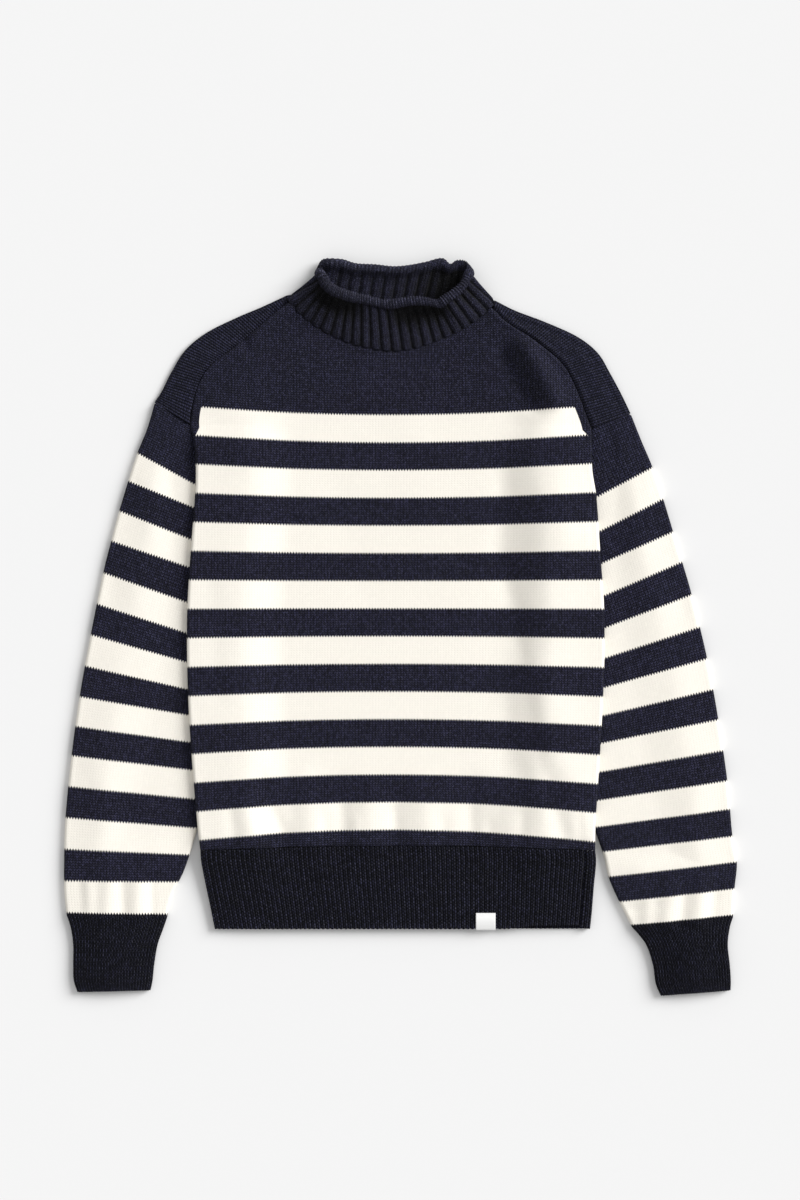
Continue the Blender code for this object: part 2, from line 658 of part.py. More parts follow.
def make_label():
    """A plain woven label folded over the lower edge of the front hem."""
    middle = 0.5 * (LABEL_X[0] + LABEL_X[1])
    right = column(HEM_SIDES, "right", "y")
    left = column(HEM_SIDES, "left", "y")
    last = float(len(HEM_SIDES) - 1)
    ends = right(np.array([last]))[0], left(np.array([last]))[0]
    across = (middle - ends[0][0]) / (ends[1][0] - ends[0][0])
    edge = hem_points(np.array([last]), np.array([across]), np.ones(1), np.array([True]))[0]
    inner = hem_points(np.array([last]), np.array([across]), np.ones(1), np.array([False]))[0]
    above, below, low = edge[2] + LABEL_CLEAR, inner[2] - LABEL_CLEAR, edge[1] - LABEL_CLEAR
    path = np.array([
        (low + LABEL_FRONT, above + LABEL_FREE),
        (low + LABEL_FRONT / 2, above + LABEL_FREE / 3),
        (low + LABEL_TURN, above),
        (low, above - LABEL_ROUND),
        (low, below + LABEL_ROUND),
        (low + LABEL_TURN, below),
        (low + LABEL_BACK, below),
    ])
    outward = np.array([(0, 1), (0, 1), (-0.4, 1), (-1, 0.5), (-1, -0.5), (-0.4, -1), (0, -1)], float)
    columns = np.linspace(*LABEL_X, LABEL_COLUMNS)

    def place(across, along, outside):
        at = path[along] + np.where(outside, LABEL_WALL, 0.0)[:, None] * outward[along]
        return np.column_stack([columns[across], at])

    return sheet("label", len(columns), len(path), place, WHITE)


make_label()
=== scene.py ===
from collections import namedtuple
import math

import bmesh
import bpy
import numpy as np
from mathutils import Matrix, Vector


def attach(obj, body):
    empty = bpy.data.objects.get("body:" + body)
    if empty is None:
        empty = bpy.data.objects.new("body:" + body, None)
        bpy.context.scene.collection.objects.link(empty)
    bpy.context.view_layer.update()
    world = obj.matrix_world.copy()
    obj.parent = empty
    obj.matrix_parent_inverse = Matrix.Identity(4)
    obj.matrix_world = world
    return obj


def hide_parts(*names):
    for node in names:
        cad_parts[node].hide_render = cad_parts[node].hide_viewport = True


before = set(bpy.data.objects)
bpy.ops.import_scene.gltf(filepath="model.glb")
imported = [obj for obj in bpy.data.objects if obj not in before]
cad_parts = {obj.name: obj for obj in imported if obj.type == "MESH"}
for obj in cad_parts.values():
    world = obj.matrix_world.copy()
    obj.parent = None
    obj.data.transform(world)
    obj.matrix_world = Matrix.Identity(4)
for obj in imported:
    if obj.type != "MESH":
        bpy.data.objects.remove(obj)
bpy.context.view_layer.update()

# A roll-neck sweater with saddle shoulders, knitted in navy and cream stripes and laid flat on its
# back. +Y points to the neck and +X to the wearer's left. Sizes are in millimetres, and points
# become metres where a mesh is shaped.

MM = 0.001


# ------------------------------------------------------------------ front
# The front is one panel of plain knit, navy at the yoke and striped from the armholes down. Its
# sides fold round to meet the back, and its top edges are sewn to the saddle strips and the collar.

WALL = 2.6                # one layer of the body's knit
STACK = 7.2               # both layers at a fold edge
LOFT = 1.2                # how much the upper layer stands prouder away from the edges
LOFT_REACH = 45.0         # how far from an edge it has risen by that much
SEAM_GAP = 0.3            # between pieces that are sewn together
CUT_AWAY = 60.0           # a cut edge counts as this much further off than a fold
FOLD_FADE = 14.0          # soft folds die out over this distance towards a fold edge
EDGE_CROWDING = 0.9       # how strongly the columns of points crowd towards the fold edges
FRONT_COLUMNS = 190
SIDE_ROWS = 150           # rows of mesh points below the armhole
ARMHOLE_ROWS = 70         # and from there to the neck

# The side folds from the hem seam to the armhole, then the saddle seams from there to the neck.
Side = namedtuple("Side", "y right left")
BODY_SIDES = [Side(*row) for row in (
    (-226, -206.0, 200.5), (-196, -209.5, 201.0), (-110, -216.5, 206.5), (-44, -219.4, 209.6),
    (18, -219.4, 209.6), (78, -215.8, 205.5), (131, -211.7, 201.9), (161, -210.6, 197.4),
    (190, -212.6, 196.8),
)]
Seam = namedtuple("Seam", "x y")
SADDLE_SEAMS = {
    "right": [Seam(*row) for row in (
        (-216.8, 208.6), (-213.9, 230.5), (-206.5, 252.5), (-193.1, 271.5), (-174.6, 285.3),
        (-153.0, 302.8), (-132.4, 320.8), (-114.8, 334.2),
    )],
    "left": [Seam(*row) for row in (
        (196.2, 205.5), (188.0, 228.1), (178.7, 249.8), (168.4, 268.3), (154.0, 282.2), (132.4, 298.2),
        (109.7, 313.6), (95.3, 327.5),
    )],
}
# Where each rib of the collar starts, counted from the right shoulder along the front to the left
# shoulder and on round the back.
Base = namedtuple("Base", "number x y z")
LEFT_SHOULDER_RIB = 22
NECKLINE = [Base(*row) for row in (
    (0.0, -114.6, 338.6, 5.0), (1.0, -107.6, 329.1, 7.1), (3.0, -91.7, 314.7, 7.1),
    (6.0, -60.3, 297.1, 7.1), (8.8, -32.4, 288.9, 7.1), (11.0, -8.8, 285.8, 7.1),
    (14.0, 23.2, 291.0, 7.1), (15.7, 40.7, 297.7, 7.1), (17.5, 58.7, 305.4, 7.1),
    (18.5, 67.5, 310.5, 7.1), (20.0, 80.9, 319.8, 7.1), (21.0, 88.6, 326.5, 6.6),
    (22.0, 94.9, 333.6, 5.0), (23.5, 83.9, 332.7, 2.7), (25.0, 65.4, 329.6, 2.7),
    (26.0, 53.0, 327.5, 2.7), (26.9, 42.2, 326.0, 2.7), (27.8, 31.4, 325.0, 2.7),
    (29.3, 13.9, 323.4, 2.7), (31.3, -8.8, 322.9, 2.7), (33.3, -32.4, 323.4, 2.7),
    (35.3, -56.1, 325.5, 2.7), (36.7, -72.6, 327.5, 2.7), (37.7, -85.0, 330.1, 2.7),
    (38.6, -96.3, 332.7, 2.7), (39.3, -105.6, 336.0, 3.2),
)]
NECK_GAP = 1.2            # from the panels' neck edges to the middle of the collar's wall

# How high the body's edges lie on the sleeves that are tucked under them, out to a shelf's width
# from the edge, and over the slope beyond it.
Lift = namedtuple("Lift", "y height")
LIFTS = [Lift(*row) for row in (
    (-312, 0.3), (-282, 1.2), (-251, 3.5), (-232, 6.0), (-216, 7.6), (180, 7.6), (192, 5.0), (208, 1.5),
    (222, 0.0),
)]
LIFT_SHELF = 52.0
LIFT_SLOPE = 50.0

# Soft folds: a line from (x0, y0) to (x1, y1), its half width and its height.
Fold = namedtuple("Fold", "x0 y0 x1 y1 width height")
BODY_FOLDS = [Fold(*row) for row in (
    (146, 262, 168, 100, 26, 2.6), (112, 285, 122, 212, 20, -2.0), (150, 120, 138, -60, 30, 2.2),
    (138, -60, 172, -190, 28, 2.2), (108, 60, 118, -150, 26, -1.2), (-168, 270, -150, 190, 24, 2.0),
    (-146, -178, -122, -222, 13, -1.8), (-160, -170, -152, -224, 12, 1.8),
    (-98, -165, -92, -224, 15, 2.2), (-62, -180, -62, -224, 11, -1.4), (-34, -175, -32, -224, 13, 1.8),
    (-6, -175, -4, -224, 11, -1.6), (26, -170, 26, -224, 14, 2.0), (70, -165, 72, -224, 13, -1.4),
    (108, -165, 110, -224, 15, 2.0), (160, -160, 170, -222, 13, -1.6),
)]
# Finer creases of the front alone, at the left saddle seam and below it first.
FRONT_CREASES = [Fold(*row) for row in (
    (127, 290, 159, 236, 12, 8.5), (107, 281, 137, 230, 9, -4.8), (118, 280, 140, 232, 32, 3.2),
    (110, 172, 101, 80, 12, -1.0), (101, 66, 122, 8, 10, -0.9),
    (120, 0, 129, -56, 9, -1.0), (131, -66, 139, -120, 10, -1.1), (144, -132, 166, -212, 9, -1.3),
    (-160, 296, -158, 286, 5, -3.2),  # a pinch below the right saddle seam
    (-180, 274, -158, 236, 14, -0.9),
    (-196, 60, -188, -70, 12, -0.7),  # along the right side
    (-70, 150, -40, 40, 22, -0.5), (10, 214, 24, 130, 24, 0.5),
    (-143, -158, -116, -224, 7, -1.0),  # gathers above the hem, right to left
    (-176, -176, -170, -224, 7, -0.9), (-78, -196, -76, -225, 6, -0.8), (-62, -160, -58, -222, 7, -0.8),
    (-46, -200, -46, -225, 5, 0.7), (-6, -192, -4, -225, 6, -0.9), (44, -200, 46, -225, 6, -0.7),
    (72, -178, 74, -224, 7, -0.9), (92, -204, 94, -225, 5, -0.6), (126, -196, 124, -225, 6, -0.8),
    (184, -196, 186, -224, 6, -0.7),
)]

# A sewn edge is drawn in, and the turned edge behind it makes a low ridge beside it.
SEAM_DIP = 1.4
SEAM_REACH = 1.7
SEAM_RIDGE = 0.7
SEAM_RIDGE_AT = 4.4       # from the edge to the ridge
SEAM_RIDGE_WIDTH = 1.9
ARMHOLE_BORDER = 9.5      # navy edge of the panel beside the first stripe
BORDER_STATIONS = 0.20    # it narrows from this many stations below the armhole's end
BORDER_TAPER = 13.0       # by this much for each station
OPEN_KNIT = 100.0         # seam distance of what lies far from any seam

# Low folds of the back, raised from the surface that it lies on.
BACK_CREASES = [Fold(*row) for row in (
    (-120, 190, -90, 20, 20, 0.9), (100, 210, 84, 60, 22, 1.0), (-20, 120, 10, -40, 26, 0.7),
    (-96, -120, -70, -224, 15, 1.1), (-30, -150, -34, -224, 12, 0.9), (36, -140, 22, -224, 14, 1.2),
    (104, -128, 92, -224, 15, 1.0),
)]

# Stitches and stripes. Courses are counted down from the first stripe's upper edge.
WALE = 2.9                # from one column of stitches to the next
STRIPE_COURSES = 12       # rows of stitches in one stripe
STRIPE = 28.5             # height of one stripe at the middle
STRIPE_TOP = 216.8        # Y of the first stripe's upper edge at the middle
STRIPE_MIDDLE = -10.8     # X where the stripes lie lowest
STRIPE_REACH = 195.7
STRIPE_BOW = 8.24         # how much higher the first stripe's ends lie
STRIPE_SPREAD = 1.236     # and how much taller each stripe is there
LAST_STRIPE = 14
HEM_SEAM_ARCH = 4.5       # the hem seam is this much lower at the sides than in the middle
COLOUR_SLANT = 1.0        # height of the teeth where the colour changes, in courses
NAVY = (0.0362, 0.0366, 0.0790, 1.0)
# painted sheen: loose fibres painted greyer and lighter where they catch the light
FIBRE_SHEEN_GREY = (0.085, 0.086, 0.105, 1.0)     # loose fibres that catch the light
CREAM = (0.885, 0.845, 0.765, 1.0)

# The shape of one stitch, in shares of it, and the yarn's unevenness.
LEG_SWING = 0.78          # how far round a leg's section goes, in half turns
LEG_START = 0.22
BULGE_POWER = 1.5         # above 1, a leg is narrower than half a course
PATCHES = 38.0            # scale of soft lighter and darker patches
PATCH_SPREAD = 0.6
FIBRES = 900.0            # scale of the single fibres
FIBRE_RELIEF = 0.3
NOISE_DETAIL = 3.0
SPECK = 1.3               # few legs are much lighter, and most a little darker
SPECK_MEAN = 0.43
DARKEST = 0.05
SHEEN_FIBRE_CONTRAST = 4.0
SHEEN_FIBRE_CUT = 2.1


def smooth(keys, values, at, period=None):
    """Smooth curve through values at rising keys. With a period it closes on itself."""
    keys = np.asarray(keys, float)
    values = np.asarray(values, float)
    if period:
        keys = np.concatenate([keys[-2:] - period, keys, keys[:3] + period])
        values = np.concatenate([values[-2:], values, values[:3]])
    slopes = np.gradient(values, keys)
    k = np.clip(np.searchsorted(keys, at, side="right") - 1, 0, len(keys) - 2)
    span = keys[k + 1] - keys[k]
    t = np.clip((at - keys[k]) / span, 0.0, 1.0)
    start = (1 + 2 * t) * (1 - t) ** 2 * values[k] + t * (1 - t) ** 2 * span * slopes[k]
    end = t * t * (3 - 2 * t) * values[k + 1] + t * t * (t - 1) * span * slopes[k + 1]
    return start + end


def column(rows, *names):
    """Smooth curve through named columns of a table, at row numbers such as 2.5."""
    stations = np.arange(len(rows))
    return lambda at: np.stack(
        [smooth(stations, [getattr(row, name) for row in rows], at) for name in names], axis=-1)


def ease(t):
    """0 below 0, 1 above 1, and a smooth step between."""
    t = np.clip(t, 0.0, 1.0)
    return t * t * (3 - 2 * t)


def edge_warp(count):
    """Places from 0 to 1 that crowd towards both ends, where the cloth folds."""
    t = np.linspace(0.0, 1.0, count)
    return EDGE_CROWDING * (0.5 - 0.5 * np.cos(math.pi * t)) + (1 - EDGE_CROWDING) * t


def lift(y, from_edge):
    """How high the tucked sleeves hold the body above the surface."""
    height = np.interp(y, [row.y for row in LIFTS], [row.height for row in LIFTS])
    return height * (1 - ease((from_edge - LIFT_SHELF) / LIFT_SLOPE))


def folds(x, y, table):
    """Height of a table's soft folds."""
    height = np.zeros_like(x)
    for fold in table:
        run = np.array([fold.x1 - fold.x0, fold.y1 - fold.y0])
        length = np.hypot(*run)
        along = ((x - fold.x0) * run[0] + (y - fold.y0) * run[1]) / length
        aside = ((x - fold.x0) * run[1] - (y - fold.y0) * run[0]) / length
        past = np.maximum(np.maximum(-along, along - length), 0.0)
        height += fold.height * np.exp(-(aside / fold.width) ** 2 - (past / fold.width) ** 2)
    return height


Lying = namedtuple("Lying", "plan height fold_distance edge_distance around")


def lie(start, end, across, upper, outside, wall=WALL, stack=STACK, fold_start=1.0, fold_end=1.0):
    """A wall of cloth folded flat between two edges.

    start and end are the edges' plan points, and across runs from 0 to 1 between them. upper is 1
    for the layer that shows and -1 for the one beneath, outside is 1 for the outer face, and
    fold_start and fold_end are 1 where the cloth folds round that edge and 0 where it is cut.
    around is the distance from the start over the cloth itself.
    """
    run = end - start
    width = np.hypot(run[:, 0], run[:, 1])
    inset = np.where(outside, 0.0, wall)
    radius = np.where(outside, stack / 2, stack / 2 - wall)
    inner_width = width - inset * (fold_start + fold_end)
    from_start = across * inner_width
    from_end = inner_width - from_start

    def drop(distance):
        return 1 - np.sqrt(1 - np.clip(1 - distance / radius, 0.0, 1.0) ** 2)

    def turned(distance):
        angle = np.arccos(np.clip(1 - distance / radius, 0.0, 1.0))
        return radius * (math.pi / 2 - 1) - (radius * angle - np.minimum(distance, radius))

    height = radius * (1 - fold_start * drop(from_start) - fold_end * drop(from_end))
    height = np.maximum(height, SEAM_GAP / 2)
    place = (inset * fold_start + from_start) / width
    plan = start + run * place[:, None]
    fold_distance = np.minimum(from_start + CUT_AWAY * (1 - fold_start),
                               from_end + CUT_AWAY * (1 - fold_end))
    around = place * width - fold_start * turned(from_start) + fold_end * turned(from_end)
    return Lying(plan, stack / 2 + upper * height, fold_distance,
                 np.minimum(from_start, from_end), around)


BODY_END = len(BODY_SIDES)                          # station where the saddle seam begins
NECK_END = BODY_END + len(SADDLE_SEAMS["left"]) - 1   # station of the neck corner
FOLD_END = 3.0                                      # stations over which the side fold runs out
HEM_ARCH_ROWS = 3.0                                 # and over which the courses bend like the hem
HEM_STATION = 30.0                                  # height of the first station


def body_edge(side):
    """One side of the body, from the hem seam along the saddle seam to the neck."""
    points = [Seam(getattr(row, side), row.y) for row in BODY_SIDES] + SADDLE_SEAMS[side]
    return column(points, "x", "y")


def neck_edge(x, front):
    """Y of a panel's neck edge, which follows the collar's base at a small gap."""
    if front:
        rows = [row for row in NECKLINE if row.number <= LEFT_SHOULDER_RIB]
    else:
        rows = [NECKLINE[0]] + [row for row in reversed(NECKLINE) if row.number >= LEFT_SHOULDER_RIB]
    keys = [row.x for row in rows]
    values = [row.y for row in rows]
    slope = (smooth(keys, values, x + 1) - smooth(keys, values, x - 1)) / 2
    return smooth(keys, values, x) - NECK_GAP * np.sqrt(1 + slope ** 2)


def hem_arch(across):
    """How far the hem seam and the courses next to it bend down towards the sides."""
    return -HEM_SEAM_ARCH * (2 * across - 1) ** 2


def body_lying(station, across, upper, outside):
    """How a point of the front or back panel lies."""
    start, end = body_edge("right")(station), body_edge("left")(station)
    fold = 1 - ease((station - BODY_END) / FOLD_END)
    lying = lie(start, end, across, upper, outside, fold_start=fold, fold_end=fold)
    plan = lying.plan
    plan[:, 1] += hem_arch(across) * (1 - ease(station / HEM_ARCH_ROWS))
    tops = [body_edge(side)(np.array([BODY_END]))[0] for side in ("right", "left")]
    corners = [body_edge(side)(np.array([NECK_END]))[0] for side in ("right", "left")]
    low = 0.5 * (tops[0][1] + tops[1][1])
    high = 0.5 * (corners[0][1] + corners[1][1])
    x = corners[0][0] + (corners[1][0] - corners[0][0]) * across
    chord = corners[0][1] + (corners[1][1] - corners[0][1]) * across
    dip = np.minimum(neck_edge(x, upper > 0) - chord, 0.0)
    middle = 0.5 * (start[:, 1] + end[:, 1])
    plan[:, 1] += dip * np.clip((middle - low) / (high - low), 0.0, 1.0)
    return lying


def body_relief(lying, creases=()):
    """Loft and soft folds of the upper layer."""
    x, y = lying.plan[:, 0], lying.plan[:, 1]
    soft = folds(x, y, BODY_FOLDS) + folds(x, y, creases)
    return LOFT * ease(lying.fold_distance / LOFT_REACH) + soft * ease(lying.fold_distance / FOLD_FADE)


def seam_relief(distance):
    """Height of the outer face beside a sewn edge."""
    return (SEAM_RIDGE * np.exp(-((distance - SEAM_RIDGE_AT) / SEAM_RIDGE_WIDTH) ** 2)
            - SEAM_DIP * np.exp(-(distance / SEAM_REACH) ** 2))


def stripe_at(x, y):
    """Number of stripes from the first one's upper edge down to a point of the body."""
    aside = ((x - STRIPE_MIDDLE) / STRIPE_REACH) ** 2
    return (STRIPE_TOP - y + STRIPE_BOW * aside) / (STRIPE + STRIPE_SPREAD * aside)


def vertex_points(mesh):
    points = np.empty(len(mesh.vertices) * 3, np.float32)
    mesh.vertices.foreach_get("co", points)
    return points.reshape(-1, 3).astype(float)


def shape_mesh(mesh, points, stitches, seam, painted_shading=None):
    """Give the mesh its points in millimetres, its stitch map and its distance from the seams.

    The optional shading values run from 1 for the fullest painted light to -1 for the darkest painted
    shade in a deep hollow.
    """
    mesh.vertices.foreach_set("co", (points * MM).astype(np.float32).ravel())
    corners = np.empty(len(mesh.loops), np.int32)
    mesh.loops.foreach_get("vertex_index", corners)
    places = stitches[corners].reshape(-1, 4, 2)
    wales = places[:, :, 0]
    split = np.ptp(wales, axis=1) > 0.5 * np.ptp(stitches[:, 0])
    wales[split] = -np.abs(wales[split])
    mesh.uv_layers.new(name="stitches").uv.foreach_set("vector", places.astype(np.float32).ravel())
    mesh.attributes.new("seam", "FLOAT", "POINT").data.foreach_set("value", seam.astype(np.float32))
    if painted_shading is not None:
        mesh.attributes.new("painted_shading", "FLOAT", "POINT").data.foreach_set("value", painted_shading.astype(np.float32))
    mesh.update()
    bm = bmesh.new()
    bm.from_mesh(mesh)
    if bm.calc_volume(signed=True) < 0:
        mesh.flip_normals()
    bm.free()
    mesh.shade_smooth()


def swell(mesh, height):
    """Move each point outwards along its normal."""
    normals = np.empty(len(mesh.vertices) * 3, np.float32)
    mesh.vertex_normals.foreach_get("vector", normals)
    points = vertex_points(mesh) + normals.reshape(-1, 3) * height[:, None] * MM
    mesh.vertices.foreach_set("co", points.astype(np.float32).ravel())
    mesh.update()


def knit_sheet(name, columns, rows, place):
    """A wall with four rims. place(column, row, outside) gives points, stitches and seam distance."""
    bm = bmesh.new()
    bmesh.ops.create_grid(bm, x_segments=columns - 1, y_segments=rows - 1, size=0.5)
    made = bmesh.ops.extrude_face_region(bm, geom=bm.faces[:])
    raised = [item for item in made["geom"] if isinstance(item, bmesh.types.BMVert)]
    bmesh.ops.translate(bm, vec=(0, 0, 1), verts=raised)
    bmesh.ops.recalc_face_normals(bm, faces=bm.faces)
    mesh = bpy.data.meshes.new(name)
    bm.to_mesh(mesh)
    bm.free()
    spots = vertex_points(mesh)
    across = np.rint((spots[:, 0] + 0.5) * (columns - 1)).astype(int)
    along = np.rint((spots[:, 1] + 0.5) * (rows - 1)).astype(int)
    outside = spots[:, 2] > 0.5
    shape_mesh(mesh, *place(across, along, outside))
    return mesh


def node(tree, kind, inputs=None, **settings):
    """A shader node with its settings, its inputs set or linked."""
    made = tree.nodes.new(kind)
    for name, value in settings.items():
        setattr(made, name, value)
    for key, value in (inputs or {}).items():
        if isinstance(value, bpy.types.NodeSocket):
            tree.links.new(value, made.inputs[key])
        else:
            made.inputs[key].default_value = value
    return made


def calc(tree, operation, *values, clamp=False):
    made = node(tree, "ShaderNodeMath", dict(enumerate(values)), operation=operation, use_clamp=clamp)
    return made.outputs[0]


def mix_colours(tree, share, first, second, blend="MIX"):
    made = node(tree, "ShaderNodeMix", data_type="RGBA", blend_type=blend)
    for key, value in ((0, share), (6, first), (7, second)):
        if isinstance(value, bpy.types.NodeSocket):
            tree.links.new(value, made.inputs[key])
        else:
            made.inputs[key].default_value = value
    return made.outputs[2]


def new_group(name, inputs, outputs):
    """A shader node group with named inputs and outputs, each given as (name, type, value)."""
    group = bpy.data.node_groups.new(name, "ShaderNodeTree")
    for label, kind, value in inputs:
        socket = group.interface.new_socket(label, in_out="INPUT", socket_type="NodeSocket" + kind)
        if value is not None:
            socket.default_value = value
    for label, kind in outputs:
        group.interface.new_socket(label, in_out="OUTPUT", socket_type="NodeSocket" + kind)
    return group, group.nodes.new("NodeGroupInput").outputs, group.nodes.new("NodeGroupOutput").inputs


def make_stitches():
    """Plain knit: columns of V shapes, each V two slanted legs of yarn."""
    group, given, result = new_group(
        "Knit stitches",
        [("Wales", "Float", 0.0), ("Courses", "Float", 0.0), ("Slant", "Float", 0.65),
         ("Wale depth", "Float", 0.95), ("Course depth", "Float", 0.9)],
        [("Height", "Float"), ("Course", "Float"), ("Stitch", "Vector")])
    number = calc(group, "FLOOR", given["Wales"])
    across = calc(group, "FRACT", given["Wales"])
    aside = calc(group, "MULTIPLY", calc(group, "ABSOLUTE", calc(group, "SUBTRACT", across, 0.5)), 2.0)
    raised = calc(group, "MULTIPLY_ADD", aside, given["Slant"], given["Courses"])
    course = calc(group, "FLOOR", raised)
    along = calc(group, "FRACT", raised)
    leg = calc(group, "SINE", calc(
        group, "MULTIPLY_ADD", aside, LEG_SWING * math.pi, LEG_START * math.pi))
    bulge = calc(group, "POWER", calc(group, "SINE", calc(group, "MULTIPLY", along, math.pi)),
                 BULGE_POWER)

    def less(depth, form):
        return calc(group, "SUBTRACT", 1.0, calc(
            group, "MULTIPLY", depth, calc(group, "SUBTRACT", 1.0, form)))

    height = calc(group, "MULTIPLY", less(given["Wale depth"], leg), less(given["Course depth"], bulge))
    side = calc(group, "GREATER_THAN", across, 0.5)
    cell = node(group, "ShaderNodeCombineXYZ", {0: number, 1: course, 2: side})
    changed = calc(group, "FLOOR", calc(group, "MULTIPLY_ADD", aside, COLOUR_SLANT, given["Courses"]))
    group.links.new(height, result["Height"])
    group.links.new(changed, result["Course"])
    group.links.new(cell.outputs[0], result["Stitch"])
    return group


def make_wool():
    """Wool yarn: painted shade between the stitches, some legs much lighter, with painted sheen on loose
    fibres.
    """
    group, given, result = new_group(
        "Wool yarn",
        [("Colour", "Color", (0.5, 0.5, 0.5, 1.0)), ("Height", "Float", 1.0),
         ("Stitch", "Vector", None), ("Place", "Vector", None),
         ("Hollow shade", "Float", 0.5), ("Unevenness", "Float", 0.3)],
        [("Colour", "Color"), ("Relief", "Float")])
    patch, fibres = [
        node(group, "ShaderNodeTexNoise", {"Vector": given["Place"], "Scale": scale,
                                           "Detail": NOISE_DETAIL}).outputs["Fac"]
        for scale in (PATCHES, FIBRES)]
    single = node(group, "ShaderNodeTexWhiteNoise", {"Vector": given["Stitch"]}, noise_dimensions="3D")
    speck = calc(group, "MULTIPLY_ADD", calc(group, "POWER", single.outputs["Value"], 2.0), SPECK,
                 -SPECK_MEAN)
    spread = calc(group, "MULTIPLY_ADD", patch, PATCH_SPREAD,
                  calc(group, "SUBTRACT", speck, PATCH_SPREAD / 2))
    light = calc(group, "MULTIPLY_ADD", spread, given["Unevenness"], 1.0)
    # painted shade: darker where the stitch lies low, between the legs
    rise = calc(group, "MULTIPLY_ADD", given["Height"], given["Hollow shade"],
                calc(group, "SUBTRACT", 1.0, given["Hollow shade"]))
    thread = calc(group, "MULTIPLY", calc(group, "SUBTRACT", fibres, 0.5), 2.0)
    fibre = calc(group, "MULTIPLY_ADD", thread, given["Unevenness"], 1.0)
    lit = calc(group, "MULTIPLY", calc(group, "MULTIPLY", light, rise), fibre)
    shade = calc(group, "MAXIMUM", lit, DARKEST)
    coloured = node(group, "ShaderNodeVectorMath", {0: given["Colour"]}, operation="SCALE")
    group.links.new(shade, coloured.inputs["Scale"])
    # painted sheen on the loose fibres, stronger on the raised legs
    loose = calc(group, "MULTIPLY_ADD", fibres, SHEEN_FIBRE_CONTRAST, -SHEEN_FIBRE_CUT, clamp=True)
    fibre_sheen = calc(group, "MULTIPLY", calc(group, "MULTIPLY", loose, given["Unevenness"]), rise)
    fuzzy = mix_colours(group, fibre_sheen, coloured.outputs[0], FIBRE_SHEEN_GREY)
    relief = calc(group, "MULTIPLY_ADD", fibres, FIBRE_RELIEF, given["Height"])
    group.links.new(fuzzy, result["Colour"])
    group.links.new(relief, result["Relief"])
    return group


def make_stripes():
    """1 on the cream stripes, counted in courses from the first one's upper edge."""
    group, given, result = new_group(
        "Stripes", [("Course", "Float", 0.0)], [("Cream", "Float")])
    stripe = calc(group, "FLOOR", calc(group, "DIVIDE", calc(group, "ADD", given["Course"], 0.5),
                                       float(STRIPE_COURSES)))
    even = calc(group, "LESS_THAN", calc(group, "FLOORED_MODULO", stripe, 2.0), 0.5)
    begun = calc(group, "GREATER_THAN", stripe, -0.5)
    ended = calc(group, "LESS_THAN", stripe, LAST_STRIPE + 0.5)
    group.links.new(calc(group, "MULTIPLY", even, calc(group, "MULTIPLY", begun, ended)), result["Cream"])
    return group


STITCHES = make_stitches()
WOOL = make_wool()
STRIPES = make_stripes()
SHEEN = 0.03
SHEEN_ROUGHNESS = 0.5
WOOL_SPECULAR = 0.10
WOOL_ROUGHNESS = 0.92
NAVY_UNEVEN = 0.9        # how much lighter and darker single stitches are
CREAM_UNEVEN = 0.03
CREAM_HOLLOW_SHADE = 0.05
CREAM_RELIEF = 0.08       # share of the navy knit's relief


